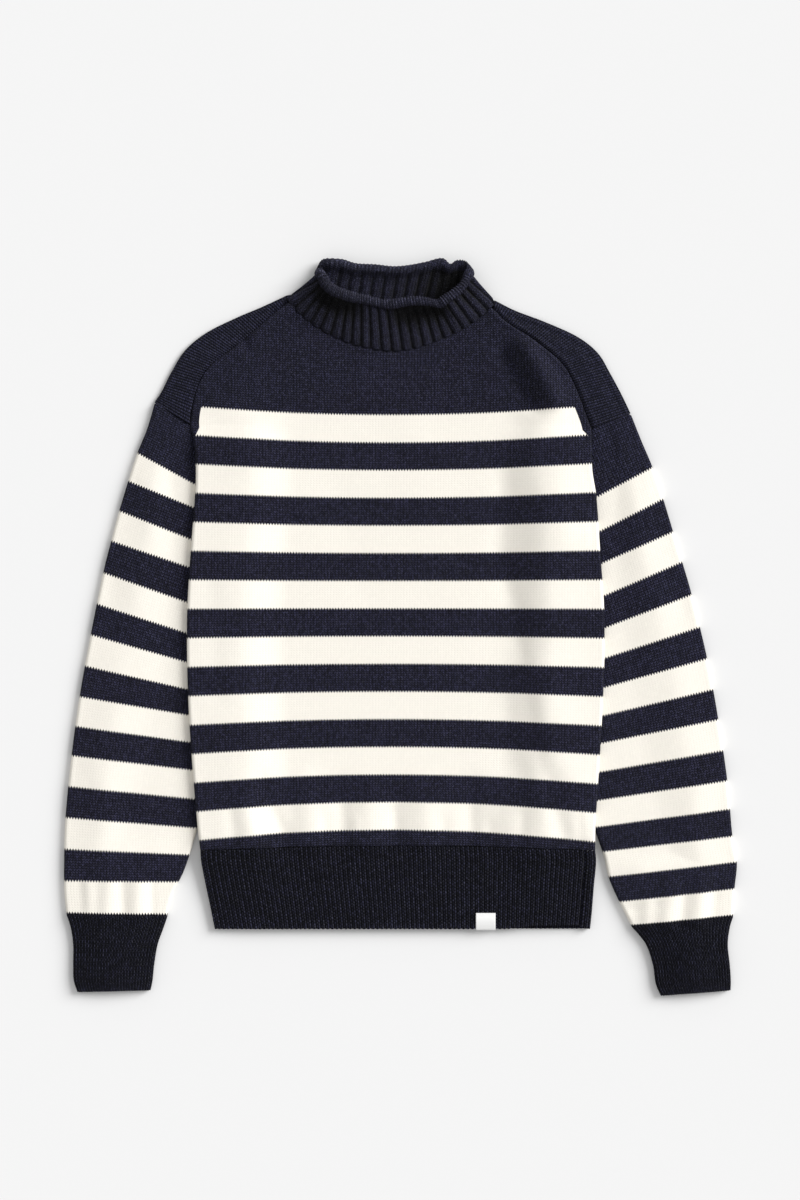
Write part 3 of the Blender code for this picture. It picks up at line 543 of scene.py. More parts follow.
def knit_material(name, colour=NAVY, striped=False, stitch_group=STITCHES, relief=1.8, hollow_shade=1.0,
                  uneven=NAVY_UNEVEN, painted_shade_and_light=None, **stitch):
    """Knitted wool. The stitch map counts wales and courses, and an optional pair of colours gives its
    darkest painted shade and lightest painted light.
    """
    material = bpy.data.materials.new(name)
    material.use_nodes = True
    tree = material.node_tree
    shader = tree.nodes["Principled BSDF"]
    stitch_map = node(tree, "ShaderNodeUVMap", uv_map="stitches")
    counts = node(tree, "ShaderNodeSeparateXYZ", {0: stitch_map.outputs[0]})
    stitches = node(tree, "ShaderNodeGroup", node_tree=stitch_group)
    tree.links.new(counts.outputs[0], stitches.inputs["Wales"])
    tree.links.new(counts.outputs[1], stitches.inputs["Courses"])
    for key, value in stitch.items():
        stitches.inputs[key.replace("_", " ").capitalize()].default_value = value
    wool = node(tree, "ShaderNodeGroup", node_tree=WOOL)
    tree.links.new(stitches.outputs["Height"], wool.inputs["Height"])
    tree.links.new(stitches.outputs["Stitch"], wool.inputs["Stitch"])
    place = node(tree, "ShaderNodeTexCoord")
    tree.links.new(place.outputs["Object"], wool.inputs["Place"])
    height = wool.outputs["Relief"]
    seam = node(tree, "ShaderNodeAttribute", attribute_name="seam").outputs["Fac"]
    if striped:
        stripes = node(tree, "ShaderNodeGroup", node_tree=STRIPES)
        tree.links.new(stitches.outputs["Course"], stripes.inputs["Course"])
        cream = calc(tree, "MULTIPLY", stripes.outputs["Cream"],
                     calc(tree, "GREATER_THAN", seam, ARMHOLE_BORDER))
        tree.links.new(mix_colours(tree, cream, colour, CREAM), wool.inputs["Colour"])
        tree.links.new(calc(tree, "MULTIPLY_ADD", cream, CREAM_HOLLOW_SHADE - hollow_shade, hollow_shade),
                       wool.inputs["Hollow shade"])
        tree.links.new(calc(tree, "MULTIPLY_ADD", cream, CREAM_UNEVEN - uneven, uneven),
                       wool.inputs["Unevenness"])
        height = calc(tree, "MULTIPLY", height, calc(tree, "MULTIPLY_ADD", cream, CREAM_RELIEF - 1, 1.0))
    else:
        wool.inputs["Colour"].default_value = colour
        wool.inputs["Hollow shade"].default_value = hollow_shade
        wool.inputs["Unevenness"].default_value = uneven
    # painted shade and painted light, mixed in from the mesh's shading values
    if painted_shade_and_light:
        painted_shading = node(tree, "ShaderNodeAttribute", attribute_name="painted_shading").outputs["Fac"]
        painted_shade_colour = mix_colours(tree, calc(tree, "MULTIPLY", painted_shading, -1.0, clamp=True), colour, painted_shade_and_light[0])
        painted_light_colour = mix_colours(tree, calc(tree, "MAXIMUM", painted_shading, 0.0, clamp=True), painted_shade_colour, painted_shade_and_light[1])
        tree.links.new(painted_light_colour, wool.inputs["Colour"])
    if "Edge" in stitches.inputs:
        tree.links.new(seam, stitches.inputs["Edge"])
    bump = node(tree, "ShaderNodeBump", {"Strength": 1.0, "Distance": relief * MM, "Height": height})
    tree.links.new(wool.outputs["Colour"], shader.inputs["Base Color"])
    tree.links.new(bump.outputs[0], shader.inputs["Normal"])
    shader.inputs["Roughness"].default_value = WOOL_ROUGHNESS
    shader.inputs["Specular IOR Level"].default_value = WOOL_SPECULAR
    shader.inputs["Sheen Weight"].default_value = SHEEN
    shader.inputs["Sheen Roughness"].default_value = SHEEN_ROUGHNESS
    return material


STRIPED_KNIT = knit_material("Striped knit", striped=True)


def dress(mesh, material, stands_for):
    """Show the piece in place of its solid and say what cloth it is."""
    mesh.materials.append(material)
    piece = bpy.data.objects.new(mesh.name, mesh)
    bpy.context.scene.collection.objects.link(piece)
    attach(piece, "root")
    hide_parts(stands_for)


def make_panel(name, columns, side_rows, armhole_rows, upper):
    places = edge_warp(columns)
    stations = np.concatenate([np.linspace(0, BODY_END, side_rows)[:-1],
                               np.linspace(BODY_END, NECK_END, armhole_rows)])

    def place(across, along, outside):
        station = stations[along]
        lying = body_lying(station, places[across], upper, outside)
        x, y = lying.plan[:, 0], lying.plan[:, 1]
        height = lying.height + lift(y, lying.edge_distance)
        beside_seam = lying.edge_distance + CUT_AWAY * (1 - ease((station - BODY_END) / FOLD_END))
        beside_neck = neck_edge(x, upper > 0) - y + CUT_AWAY * (station < BODY_END)
        sewn = seam_relief(beside_seam) + seam_relief(np.maximum(beside_neck, 0.0))
        sewn -= SEAM_DIP / 2 * np.exp(-(station * HEM_STATION / SEAM_REACH) ** 2)
        if upper > 0:
            height += body_relief(lying, FRONT_CREASES) + np.where(outside, sewn, 0.0)
        else:
            height += folds(x, y, BACK_CREASES) * ease(lying.edge_distance / LIFT_SHELF)
        points = np.column_stack([lying.plan, height])
        right = body_edge("right")(station)[:, 0]
        stitches = np.column_stack([
            (right + lying.around) / WALE,
            STRIPE_COURSES * stripe_at(lying.plan[:, 0], lying.plan[:, 1])])
        below = np.maximum(BODY_END - BORDER_STATIONS - station, 0.0)
        seam = np.minimum(lying.edge_distance + BORDER_TAPER * below, OPEN_KNIT)
        return points, stitches, seam

    return knit_sheet(name, columns, len(stations), place)


front = make_panel("front_cloth", FRONT_COLUMNS, SIDE_ROWS, ARMHOLE_ROWS, 1)
dress(front, STRIPED_KNIT, "front")


# ------------------------------------------------------------------ back
# The back is a second panel like the front, with a higher neck. It lies on the surface under the
# front, and its sides rest on the sleeves that are tucked in beneath them.

BACK_COLUMNS = 120
BACK_SIDE_ROWS = 90
BACK_ARMHOLE_ROWS = 50

back = make_panel("back_cloth", BACK_COLUMNS, BACK_SIDE_ROWS, BACK_ARMHOLE_ROWS, -1)
dress(back, STRIPED_KNIT, "back")


# ------------------------------------------------------------------ saddle strips
# A strip of navy knit runs from the neck over each shoulder, with its courses across it. It is
# folded along the shoulder and sewn to the front and the back.

# navy painted darker than the body's, as shade on the sloping shoulders
SADDLE_SHADED_NAVY = (0.0225, 0.0230, 0.0500, 1.0)
NAVY_KNIT = knit_material("Navy knit", SADDLE_SHADED_NAVY, uneven=0.8, slant=0.25, wale_depth=0.4)
Edge = namedtuple("Edge", "x y")
SHOULDER_FOLDS = {
    "right": [Edge(*row) for row in (
        (-253.7, 231.2), (-246.2, 242.6), (-236.4, 262.1), (-222.0, 284.8), (-200.3, 302.8),
        (-169.4, 318.3), (-142.7, 329.6), (-117.4, 341.4),
    )],
    "left": [Edge(*row) for row in (
        (237.3, 219.8), (228.1, 239.0), (216.8, 260.1), (203.4, 282.2), (181.8, 299.2), (148.8, 314.2),
        (119.0, 325.5), (97.8, 336.0),
    )],
}
SADDLE_COLUMNS = 34       # on each of the strip's two halves
SADDLE_ROWS = 120
SADDLE_COURSE = 2.8
SADDLE_DROOP = 2.6        # the strip falls away towards the fold along the shoulder
DROOP_REACH = 20.0        # from this far in
DROOP_END = 2.0           # and no longer in the fold itself
COLLAR_TUCK = (1.6, 4.5)  # its end reaches this far in under the collar, in two rows of points,
TUCK_NARROWS = 0.06       # grows narrower there by this share for each millimetre,
TUCK_SQUEEZE = 0.24       # and is pressed to this share of its thickness


def make_saddle(side):
    seam = body_edge(side)
    fold = column(SHOULDER_FOLDS[side], "x", "y")
    reach = np.sin(np.linspace(0, math.pi / 2, SADDLE_COLUMNS + 1))
    places = np.concatenate([reach, reach[-2::-1]])
    layers = np.concatenate([np.ones(SADDLE_COLUMNS), [0.0], -np.ones(SADDLE_COLUMNS)])
    stations = np.linspace(BODY_END, NECK_END, SADDLE_ROWS)
    stations = np.append(stations, [NECK_END] * len(COLLAR_TUCK))
    hidden = np.append(np.zeros(SADDLE_ROWS), COLLAR_TUCK)
    ahead = seam(np.full(1, float(NECK_END))) - seam(np.full(1, NECK_END - 0.5))
    ahead = ahead / np.linalg.norm(ahead)
    middle = 0.5 * (seam(stations) + fold(stations - BODY_END))
    lengths = np.concatenate([[0.0], np.cumsum(np.hypot(*np.diff(middle, axis=0).T))])

    def place(across, along, outside):
        station = stations[along]
        start, end = seam(station), fold(station - BODY_END)
        width = np.hypot(*(end - start).T)
        share = SEAM_GAP / width + (1 - SEAM_GAP / width) * places[across]
        share = share * (1 - TUCK_NARROWS * hidden[along])
        lying = lie(start, end, share, layers[across], outside, fold_start=0.0)
        shows = layers[across] > 0
        fallen = SADDLE_DROOP * (1 - ease(lying.fold_distance / DROOP_REACH)) * ease(
            lying.fold_distance / DROOP_END)
        risen = LOFT * ease(lying.fold_distance / LOFT_REACH) - fallen
        height = lying.height + np.where(shows, risen, 0.0)
        height += np.where(shows & outside, seam_relief(lying.edge_distance), 0.0)
        height = np.where(hidden[along] > 0, STACK / 2 + (height - STACK / 2) * TUCK_SQUEEZE, height)
        points = np.column_stack([lying.plan + ahead * hidden[along][:, None], height])
        wales = np.where(layers[across] < 0, 2 * width - lying.around, lying.around) / WALE
        return points, np.column_stack([wales, lengths[along] / SADDLE_COURSE]), lying.edge_distance

    return knit_sheet("saddle_" + side + "_cloth", len(places), len(stations), place)


for wearer_side in ("left", "right"):
    dress(make_saddle(wearer_side), NAVY_KNIT, "saddle_" + wearer_side)


# ------------------------------------------------------------------ sleeves
# Each sleeve is a tapered tube of striped knit with one seam under the arm. It lies flat, and its
# underarm is tucked beneath the body's side.

Limb = namedtuple("Limb", "outer_x outer_y inner_x inner_y")
SLEEVES = {
    "right": [Limb(*row) for row in (
        (-252.9, 232.9, -215.5, 208.0), (-261.1, 204.5, -207.5, 176.6), (-271.9, 177.7, -203.4, 140.6),
        (-281.2, 148.8, -190.0, 112.0), (-290.5, 117.9, -180.8, 74.3), (-298.7, 87.0, -174.6, 45.1),
        (-306.9, 54.1, -172.5, 6.7), (-319.8, -9.8, -175.6, -50.8), (-331.2, -73.6, -184.9, -98.2),
        (-339.4, -134.4, -194.2, -151.6), (-345.6, -198.3, -209.6, -209.0),
        (-347.0, -246.7, -222.5, -249.8), (-346.6, -274.5, -234.3, -274.5),
        (-344.5, -296.1, -240.4, -297.7),
    )],
    "left": [Limb(*row) for row in (
        (236.6, 221.5, 195.4, 204.4), (248.7, 191.1, 193.5, 166.3), (260.6, 162.7, 188.0, 124.2),
        (271.4, 130.3, 176.6, 82.0), (281.7, 96.3, 168.4, 46.4), (291.0, 65.4, 163.3, 10.1),
        (300.8, 31.4, 162.2, -21.1), (316.7, -34.5, 167.4, -76.0), (328.1, -97.3, 177.7, -127.4),
        (337.3, -160.2, 191.1, -182.4), (342.5, -217.3, 208.6, -233.3), (347.0, -243.6, 214.8, -259.0),
        (344.5, -271.4, 226.1, -284.8), (343.2, -298.2, 238.0, -308.5),
    )],
}
# The stripe that each row of the tables above lies at.
SLEEVE_STRIPES = {
    "right": (-2.0, -1.0, 0.0, 1.0, 2.0, 3.0, 4.0, 6.0, 8.0, 10.0, 12.0, 13.49, 14.33, 15.0),
    "left": (-2.0, -1.0, 0.0, 1.0, 2.0, 3.0, 4.0, 6.0, 8.0, 10.0, 12.0, 13.0, 14.0, 15.0),
}
SLEEVE_FOLDS = [Fold(*row) for row in (
    (-300, -262, -302, -296, 9, 1.8), (-270, -262, -270, -297, 9, 1.8), (-322, -266, -322, -296, 7, 1.4),
    (310, -268, 306, -304, 9, 1.8), (280, -268, 274, -305, 9, 1.8), (254, -284, 254, -307, 7, 1.2),
)]
SLEEVE_CREASES = [Fold(*row) for row in (
    (-262, 150, -236, 60, 16, 0.8),  # right sleeve, top to bottom
    (-296, 40, -272, -60, 18, -0.7), (-250, -40, -240, -130, 20, 0.7), (-318, -120, -300, -200, 16, 0.7),
    (-270, -180, -262, -250, 15, -0.8), (-330, -252, -326, -292, 6, -0.8),
    (-288, -250, -285, -296, 6, -1.1), (-256, -262, -256, -296, 5, -0.8),
    (262, 150, 236, 70, 16, 0.8),  # left sleeve, top to bottom
    (290, 20, 262, -60, 18, -0.6), (240, -60, 246, -150, 20, 0.7), (318, -140, 296, -220, 15, 0.6),
    (262, -286, 240, -294, 6, -0.8), (324, -262, 322, -302, 6, -0.9), (293, -262, 290, -303, 6, -1.1),
)]
SLEEVE_UNDER_CREASE = 0.8   # how far the under layer's folds rise from the surface
SLEEVE_STACK = 7.0
SLEEVE_LOFT = 2.8
SLEEVE_LOFT_REACH = 42.0
SADDLE_TUCK = 3.2         # the sleeve's top reaches this far in under the saddle's end,
TUCK_ROWS = (1.0, 0.5)    # in two rows of points that lie these shares of the way in,
TUCK_INSET = 0.09         # and is drawn in by this share of its width from either side
TUCK_CLEAR = 0.25         # share of the width from the outer fold that is clear of the body
TUCK_RUN = 0.3            # and the share over which its loft dies out from there
CLEAR_STATION = 10.0      # from this row of its table on, the whole width is clear
HALF_TURN = 2.1           # from the outer fold to where its curve starts, over the cloth
SLEEVE_AROUND = 128
SLEEVE_ROWS = 200
SLEEVE_INNER_ROWS = 60


def knit_tube(name, around, levels, place):
    """A wall round a hollow. The levels go along the outer face and back along the inner one."""
    bm = bmesh.new()
    bmesh.ops.create_circle(bm, segments=around, radius=1.0)
    first = bm.edges[:]
    ring = first
    for _ in range(levels - 1):
        made = bmesh.ops.extrude_edge_only(bm, edges=ring)["geom"]
        verts = {item for item in made if isinstance(item, bmesh.types.BMVert)}
        ring = [item for item in made if isinstance(item, bmesh.types.BMEdge)
                and verts.issuperset(item.verts)]
        bmesh.ops.translate(bm, vec=(0, 0, 1), verts=list(verts))
    bmesh.ops.bridge_loops(bm, edges=first + ring)
    bmesh.ops.recalc_face_normals(bm, faces=bm.faces)
    mesh = bpy.data.meshes.new(name)
    bm.to_mesh(mesh)
    bm.free()
    spots = vertex_points(mesh)
    step = np.rint(np.arctan2(spots[:, 1], spots[:, 0]) / (2 * math.pi) * around).astype(int) % around
    level = np.rint(spots[:, 2]).astype(int)
    shape_mesh(mesh, *place(step, level))
    return mesh


def make_limb(name, rows, counts, course, wale, wall, stack, steps, levels, inner_levels, tucked):
    """A flattened tube from its table's first row to its last."""
    outer = column(rows, "outer_x", "outer_y")
    inner = column(rows, "inner_x", "inner_y")
    half = steps // 2
    warp = edge_warp(half + 1)
    places = np.concatenate([warp, warp[-2:0:-1]])
    layers = np.concatenate([[0.0], np.ones(half - 1), [0.0], -np.ones(half - 1)])
    last = len(rows) - 1
    stations = np.concatenate([np.linspace(0, last, levels), np.linspace(last, 0, inner_levels)])
    hidden = np.zeros(levels + inner_levels)
    if tucked:
        hidden[[0, 1, -1, -2]] = TUCK_ROWS * 2
    above = 0.5 * (outer(np.zeros(1)) + inner(np.zeros(1)) - outer(np.ones(1)) - inner(np.ones(1)))
    above = above / np.linalg.norm(above)

    def place(step, level):
        outside = level < levels
        row = np.where(hidden[level] > 0, 0.0, stations[level])
        start, end, across = outer(row), inner(row), places[step]
        inset = (TUCK_INSET * (hidden[level] > 0))[:, None]
        start, end = start + (end - start) * inset, end + (start - end) * inset
        lying = lie(start, end, across, layers[step], outside, wall, stack)
        x, y = lying.plan[:, 0], lying.plan[:, 1]
        relief = SLEEVE_LOFT * ease(lying.fold_distance / SLEEVE_LOFT_REACH)
        soft = folds(x, y, SLEEVE_FOLDS) + folds(x, y, SLEEVE_CREASES)
        relief += soft * ease(lying.fold_distance / FOLD_FADE)
        if tucked:
            clear = 1 - ease((across - TUCK_CLEAR) / TUCK_RUN)
            relief *= np.maximum(clear, ease(row - CLEAR_STATION))
        under = SLEEVE_UNDER_CREASE * np.clip(soft, 0, 1) * ease(lying.fold_distance / FOLD_FADE)
        height = lying.height + np.where(layers[step] > 0, relief, np.where(layers[step] < 0, under, 0.0))
        squeezed = stack / 2 + (height - stack / 2) * TUCK_SQUEEZE
        height = np.where(hidden[level] > 0, squeezed, height)
        plan = lying.plan + above * (SADDLE_TUCK * hidden[level])[:, None]
        drawn_in = 1.0 if tucked else np.linalg.norm(end - start, axis=1) / np.linalg.norm(
            outer(np.zeros(1)) - inner(np.zeros(1)))
        wales = np.where(layers[step] < 0, -1.0, 1.0) * (lying.around + HALF_TURN) / drawn_in / wale
        courses = course * smooth(np.arange(len(counts)), counts, row)
        edge = np.where(row > last / 2, np.linalg.norm(outer(row) - outer(np.full(1, last)), axis=1),
                        OPEN_KNIT)
        seam = np.full(len(row), OPEN_KNIT) if tucked else edge
        return np.column_stack([plan, height]), np.column_stack([wales, courses]), seam

    return knit_tube(name, steps, levels + inner_levels, place)


for wearer_side in ("left", "right"):
    sleeve = make_limb("sleeve_" + wearer_side + "_cloth", SLEEVES[wearer_side],
                       SLEEVE_STRIPES[wearer_side], STRIPE_COURSES, WALE, WALL, SLEEVE_STACK,
                       SLEEVE_AROUND, SLEEVE_ROWS, SLEEVE_INNER_ROWS, True)
    dress(sleeve, STRIPED_KNIT, "sleeve_" + wearer_side)


# ------------------------------------------------------------------ cuffs
# The cuffs are tubes of firm navy rib, linked to the sleeves' ends. Fewer and closer stitches draw
# them in at the wrist, and their free edges are plain.

# navy painted darker than the body's, as shade in the rib's deep hollows
RIB_SHADED_NAVY = (0.0165, 0.0170, 0.0360, 1.0)
SMOOTH_END = 6.0          # the dashes fade out over this distance to the free edge
CREST_POWER = 1.2         # above 1, the crests are narrower than the hollows
CREST_LOW = 0.4           # height of a crest where two ribs meet
DASH_DEPTH = 0.9


def make_rib():
    """Firm rib: narrow crests with a dash of yarn at each course, every other one half a course up."""
    group, given, result = new_group(
        "Rib stitches",
        [("Wales", "Float", 0.0), ("Courses", "Float", 0.0), ("Edge", "Float", OPEN_KNIT)],
        [("Height", "Float"), ("Course", "Float"), ("Stitch", "Vector")])
    number = calc(group, "FLOOR", given["Wales"])
    across = calc(group, "FRACT", given["Wales"])
    odd = calc(group, "FLOORED_MODULO", number, 2.0)
    shifted = calc(group, "MULTIPLY_ADD", odd, 0.5, given["Courses"])
    course = calc(group, "FLOOR", shifted)
    crest = calc(group, "POWER", calc(group, "SINE", calc(group, "MULTIPLY", across, math.pi)),
                 CREST_POWER)
    rib = calc(group, "ABSOLUTE", calc(group, "SINE", calc(
        group, "MULTIPLY", given["Wales"], math.pi / 2)))
    crest = calc(group, "MULTIPLY", crest, calc(
        group, "MULTIPLY_ADD", rib, 1 - CREST_LOW, CREST_LOW))
    dash = calc(group, "SINE", calc(group, "MULTIPLY", calc(group, "FRACT", shifted), math.pi))
    depth = calc(group, "MULTIPLY", calc(group, "DIVIDE", given["Edge"], SMOOTH_END, clamp=True),
                 DASH_DEPTH)
    cut = calc(group, "MULTIPLY", depth, calc(group, "SUBTRACT", 1.0, dash))
    height = calc(group, "MULTIPLY", crest, calc(group, "SUBTRACT", 1.0, cut))
    cell = node(group, "ShaderNodeCombineXYZ", {0: number, 1: course})
    group.links.new(height, result["Height"])
    group.links.new(course, result["Course"])
    group.links.new(cell.outputs[0], result["Stitch"])
    return group


NAVY_RIB = knit_material("Navy hem rib", RIB_SHADED_NAVY, stitch_group=make_rib(), relief=1.6, hollow_shade=1.0,
                         uneven=1.0)
CUFFS = {
    "right": [Limb(*row) for row in (
        (-344.3, -296.6, -240.5, -298.2), (-339.9, -310.5, -245.1, -311.6),
        (-337.3, -328.1, -250.8, -328.1), (-337.3, -348.7, -254.4, -348.7),
        (-336.8, -364.1, -256.0, -364.1), (-333.0, -376.5, -258.0, -374.8),
    )],
    "left": [Limb(*row) for row in (
        (343.0, -298.7, 238.2, -309.0), (339.4, -310.5, 245.1, -316.7), (337.3, -328.1, 253.9, -329.1),
        (339.4, -348.7, 260.6, -349.7), (340.4, -364.1, 263.2, -368.2), (340.2, -374.8, 268.5, -380.4),
    )],
}
CUFF_STACK = 7.4
CUFF_WALL = 2.9
CUFF_WALE = 1.9           # from one column of dashes to the next; two of them make a rib
RIB_COURSE = 3.3
RIB_RISE = 0.45           # how far a rib stands above the hollows beside it
CUFF_AROUND = 276
CUFF_ROWS = 44
CUFF_INNER_ROWS = 14
CUFF_COURSES = 22


def swell_ribs(mesh):
    """Raise each rib of the stitch map, and draw the hollows in."""
    corners = np.empty(len(mesh.loops), np.int32)
    mesh.loops.foreach_get("vertex_index", corners)
    places = np.empty(len(mesh.loops) * 2, np.float32)
    mesh.uv_layers["stitches"].uv.foreach_get("vector", places)
    wales = np.zeros(len(mesh.vertices))
    wales[corners] = places[0::2]
    swell(mesh, -RIB_RISE * np.cos(math.pi * wales))


for wearer_side in ("left", "right"):
    rows = CUFFS[wearer_side]
    cuff = make_limb("cuff_" + wearer_side + "_cloth", rows, np.linspace(0, CUFF_COURSES, len(rows)),
                     1.0, CUFF_WALE, CUFF_WALL, CUFF_STACK, CUFF_AROUND, CUFF_ROWS,
                     CUFF_INNER_ROWS, False)
    swell_ribs(cuff)
    dress(cuff, NAVY_RIB, "cuff_" + wearer_side)


# ------------------------------------------------------------------ hem band
# The hem is a band of the same firm rib in two pieces, a front and a back. The left side seam lies
# a little way in on the front.

HEM_SIDES = [Side(*row) for row in (
    (-226.5, -206.0, 200.5), (-240, -205.0, 201.4), (-265, -200.5, 199.3), (-290, -195.5, 197.5),
    (-311.5, -191.5, 195.5),
)]
HEM_SIDE_SEAM = 11.0      # the left side seam lies this far in from the fold
HEM_SEAM_DIP = 1.8        # and is drawn in by this much
HEM_WALES = 166           # columns of dashes on each side
HEM_LIP = 3.5             # the front hem's edge stands back by this much near the left side
HEM_LIP_FROM = 105.0      # from this X on
HEM_LIP_RUN = 40.0
HEM_LIP_END = 0.03        # share of the width over which it runs out at the fold
HEM_CROWDING = 0.5        # how strongly the front's columns crowd towards the right fold
HEM_FRONT_COLUMNS = 560
HEM_BACK_COLUMNS = 400
HEM_WRAP_COLUMNS = 24
HEM_ROWS = 34


def hem_points(station, across, upper, outside):
    right = column(HEM_SIDES, "right", "y")(station)
    left = column(HEM_SIDES, "left", "y")(station)
    lying = lie(right, left, across, upper, outside)
    plan = lying.plan
    down = station / (len(HEM_SIDES) - 1)
    plan[:, 1] += hem_arch(across) * (1 - down)
    lip = np.where(upper > 0, HEM_LIP * ease((plan[:, 0] - HEM_LIP_FROM) / HEM_LIP_RUN), 0.0)
    plan[:, 1] += lip * down * ease((1 - across) / HEM_LIP_END)
    height = lying.height + lift(plan[:, 1], lying.edge_distance)
    height += np.where(upper > 0, body_relief(lying), 0.0)
    beside_seam = lying.fold_distance - HEM_SIDE_SEAM + CUT_AWAY * (across < 0.5)
    height -= np.where(upper > 0, HEM_SEAM_DIP * np.exp(-(beside_seam / SEAM_REACH) ** 2), 0.0)
    width = left[:, 0] - right[:, 0]
    wales = (lying.around / width - 0.5) * HEM_WALES
    courses = -plan[:, 1] / RIB_COURSE
    end = (HEM_SIDES[0].y - HEM_SIDES[-1].y) * (1 - down)
    return np.column_stack([plan, height]), np.column_stack([wales, courses]), end


def make_hem():
    width = HEM_SIDES[0].left - HEM_SIDES[0].right
    seam = 1 - HEM_SIDE_SEAM / width
    stations = np.linspace(0, len(HEM_SIDES) - 1, HEM_ROWS)
    front = seam * (1 - np.cos(np.linspace(0, math.pi / 2, HEM_FRONT_COLUMNS)))
    front = HEM_CROWDING * front + (1 - HEM_CROWDING) * np.linspace(0, seam, HEM_FRONT_COLUMNS)

    def place_front(across, along, outside):
        return hem_points(stations[along], front[across], np.ones(len(across)), outside)

    yield "hem_front", knit_sheet("hem_front_cloth", HEM_FRONT_COLUMNS, HEM_ROWS, place_front)

    wrap = seam + SEAM_GAP / width + (1 - seam - SEAM_GAP / width) * np.sin(
        np.linspace(0, math.pi / 2, HEM_WRAP_COLUMNS + 1))
    under = edge_warp(HEM_BACK_COLUMNS)[::-1]
    back = np.concatenate([wrap, under[1:]])
    layers = np.concatenate([np.ones(HEM_WRAP_COLUMNS), [0.0], -np.ones(HEM_BACK_COLUMNS - 1)])

    def place_back(across, along, outside):
        return hem_points(stations[along], back[across], layers[across], outside)

    yield "hem_back", knit_sheet("hem_back_cloth", len(back), HEM_ROWS, place_back)


for node_name, band in make_hem():
    swell_ribs(band)
    dress(band, NAVY_RIB, node_name)


# ------------------------------------------------------------------ collar
# The collar is a tube of two-by-two rib, picked up round the neckline, that ends in plain knit
# which rolls over outwards.

Top = namedtuple("Top", "number x y z")
ROLL = [Top(*row) for row in (
    (0.0, -79.2, 358.4, 16.0), (1.0, -77.6, 354.6, 18.5), (3.0, -71.6, 348.1, 21.0),
    (6.0, -54.1, 339.9, 22.0), (8.8, -33.5, 335.3, 21.0), (11.0, -14.4, 331.1, 19.5),
    (14.0, 12.9, 334.8, 22.0), (15.7, 28.3, 334.2, 23.0), (17.5, 40.7, 332.7, 23.5),
    (18.5, 47.4, 337.3, 23.0), (20.0, 58.2, 345.1, 22.0), (21.0, 63.9, 351.2, 20.5),
    (22.0, 67.5, 357.9, 18.0), (23.5, 70.4, 366.6, 13.5), (25.0, 65.2, 371.9, 10.0),
    (26.0, 56.7, 372.3, 8.5), (26.9, 50.5, 369.3, 7.5), (27.8, 43.3, 374.4, 7.5),
    (29.3, 24.2, 370.8, 7.0), (31.3, -0.5, 366.7, 7.0), (33.3, -24.2, 368.2, 7.0),
    (35.3, -47.9, 369.8, 7.0), (36.7, -63.3, 373.9, 7.5), (37.7, -78.5, 374.4, 8.5),
    (38.6, -83.6, 370.0, 10.5), (39.3, -84.6, 364.2, 12.8),
)]
RIBS_AROUND = 40
RIB_STEPS = 16            # columns of points for each rib
COLLAR_ROWS = 40
ROLL_ROWS = 28
COLLAR_INNER_ROWS = 30
COLLAR_WALL = 2.4
COLLAR_COURSE = 2.4
COLLAR_REST = 0.05        # nothing lies lower than this
RING_STEP = 0.2           # ribs to either side that give the wall's direction

# Shares of the wall's height, from the neck edge to the middle of the roll.
COLLAR_BELOW = 0.03       # how much of it is turned in under the neck edge
WALL_TOP = 0.9            # where the outer face passes into the roll
INNER_TOP = 0.84          # and the inner face
RIB_FADE = 0.8            # from here to the roll the ribs die out
RIB_LEFT = 0.3            # to this share of their own height

RIB_HEIGHT = 2.8
RIB_GROOVE = 0.19         # half the width of the groove between two ribs, in ribs
INNER_RIB = 2.1           # depth of the grooves on the inside, halfway between the outer ones

ROLL_RADIUS = 4.8
ROLL_OFFSET = 1.8         # the roll's middle stands this far outside the wall's
ROLL_OVERHANG = 0.25      # and by this share of the hollow beneath it
ROLL_START = -97.0        # the angles that the roll goes through
ROLL_END = 221.0
ROLL_LENGTH = 24.0        # over the cloth, with both walls' ends
ROLL_WALES = 4            # stitches for each rib
ROLL_STROKES = 3          # stitches that stand out on the roll, for each rib
ROLL_STITCH = 0.6         # and how far
ROLL_LUMPS = 0.35         # how uneven the roll is, in two waves with these rates for each rib
LUMP_RATES = (1.7, 0.6)
LUMP_SHIFT = 1.0          # and the second one shifted
ROLL_THICKER = 0.9        # near the right shoulder, at this rib and as many to either side
THICK_RIB = 3.5

# Parts of the roll, which come in over rise ribs from start and go out over fall ribs from end.
Part = namedtuple("Part", "start rise end fall")
BACK_PART = Part(25.4, 1.2, 37.0, 1.2)
BACK_ROLL_OFFSET = -2.4   # the back's roll stands up over the inside of the wall
BACK_STROKE_LOSS = 0.5    # and its strokes are flatter by this share
PINCH_PART = Part(38.55, 0.9, 39.45, 0.3)     # the right end folds in on itself
PINCH_SINK = 4.0
PINCH_IN = 1.2
PINCH_OVER = Part(19.45, 0.3, 20.0, 2.0)      # and stands up beyond, counted from half way round
PINCH_RISE = 1.8
CROSS_OVER = Part(17.5, 0.3, 18.5, 2.0)       # the left part passes over the front part
CROSSING_RISE = 2.4
CROSS_UNDER = Part(16.0, 1.5, 17.5, 0.3)
CROSSING_SINK = 1.6

# Where the wall draws back beneath the roll: the rib, the half width in ribs and the depth.
Hollow = namedtuple("Hollow", "rib width depth")
UNDER_ROLL = [Hollow(3.4, 2.3, 9.0), Hollow(6.6, 1.5, 4.0), Hollow(13.2, 1.8, 7.0),
              Hollow(16.0, 1.6, 7.5), Hollow(20.4, 1.6, 2.5)]
UNDER_ROLL_SHARE = 0.72   # how far up the wall it is deepest
UNDER_ROLL_REACH = 0.25
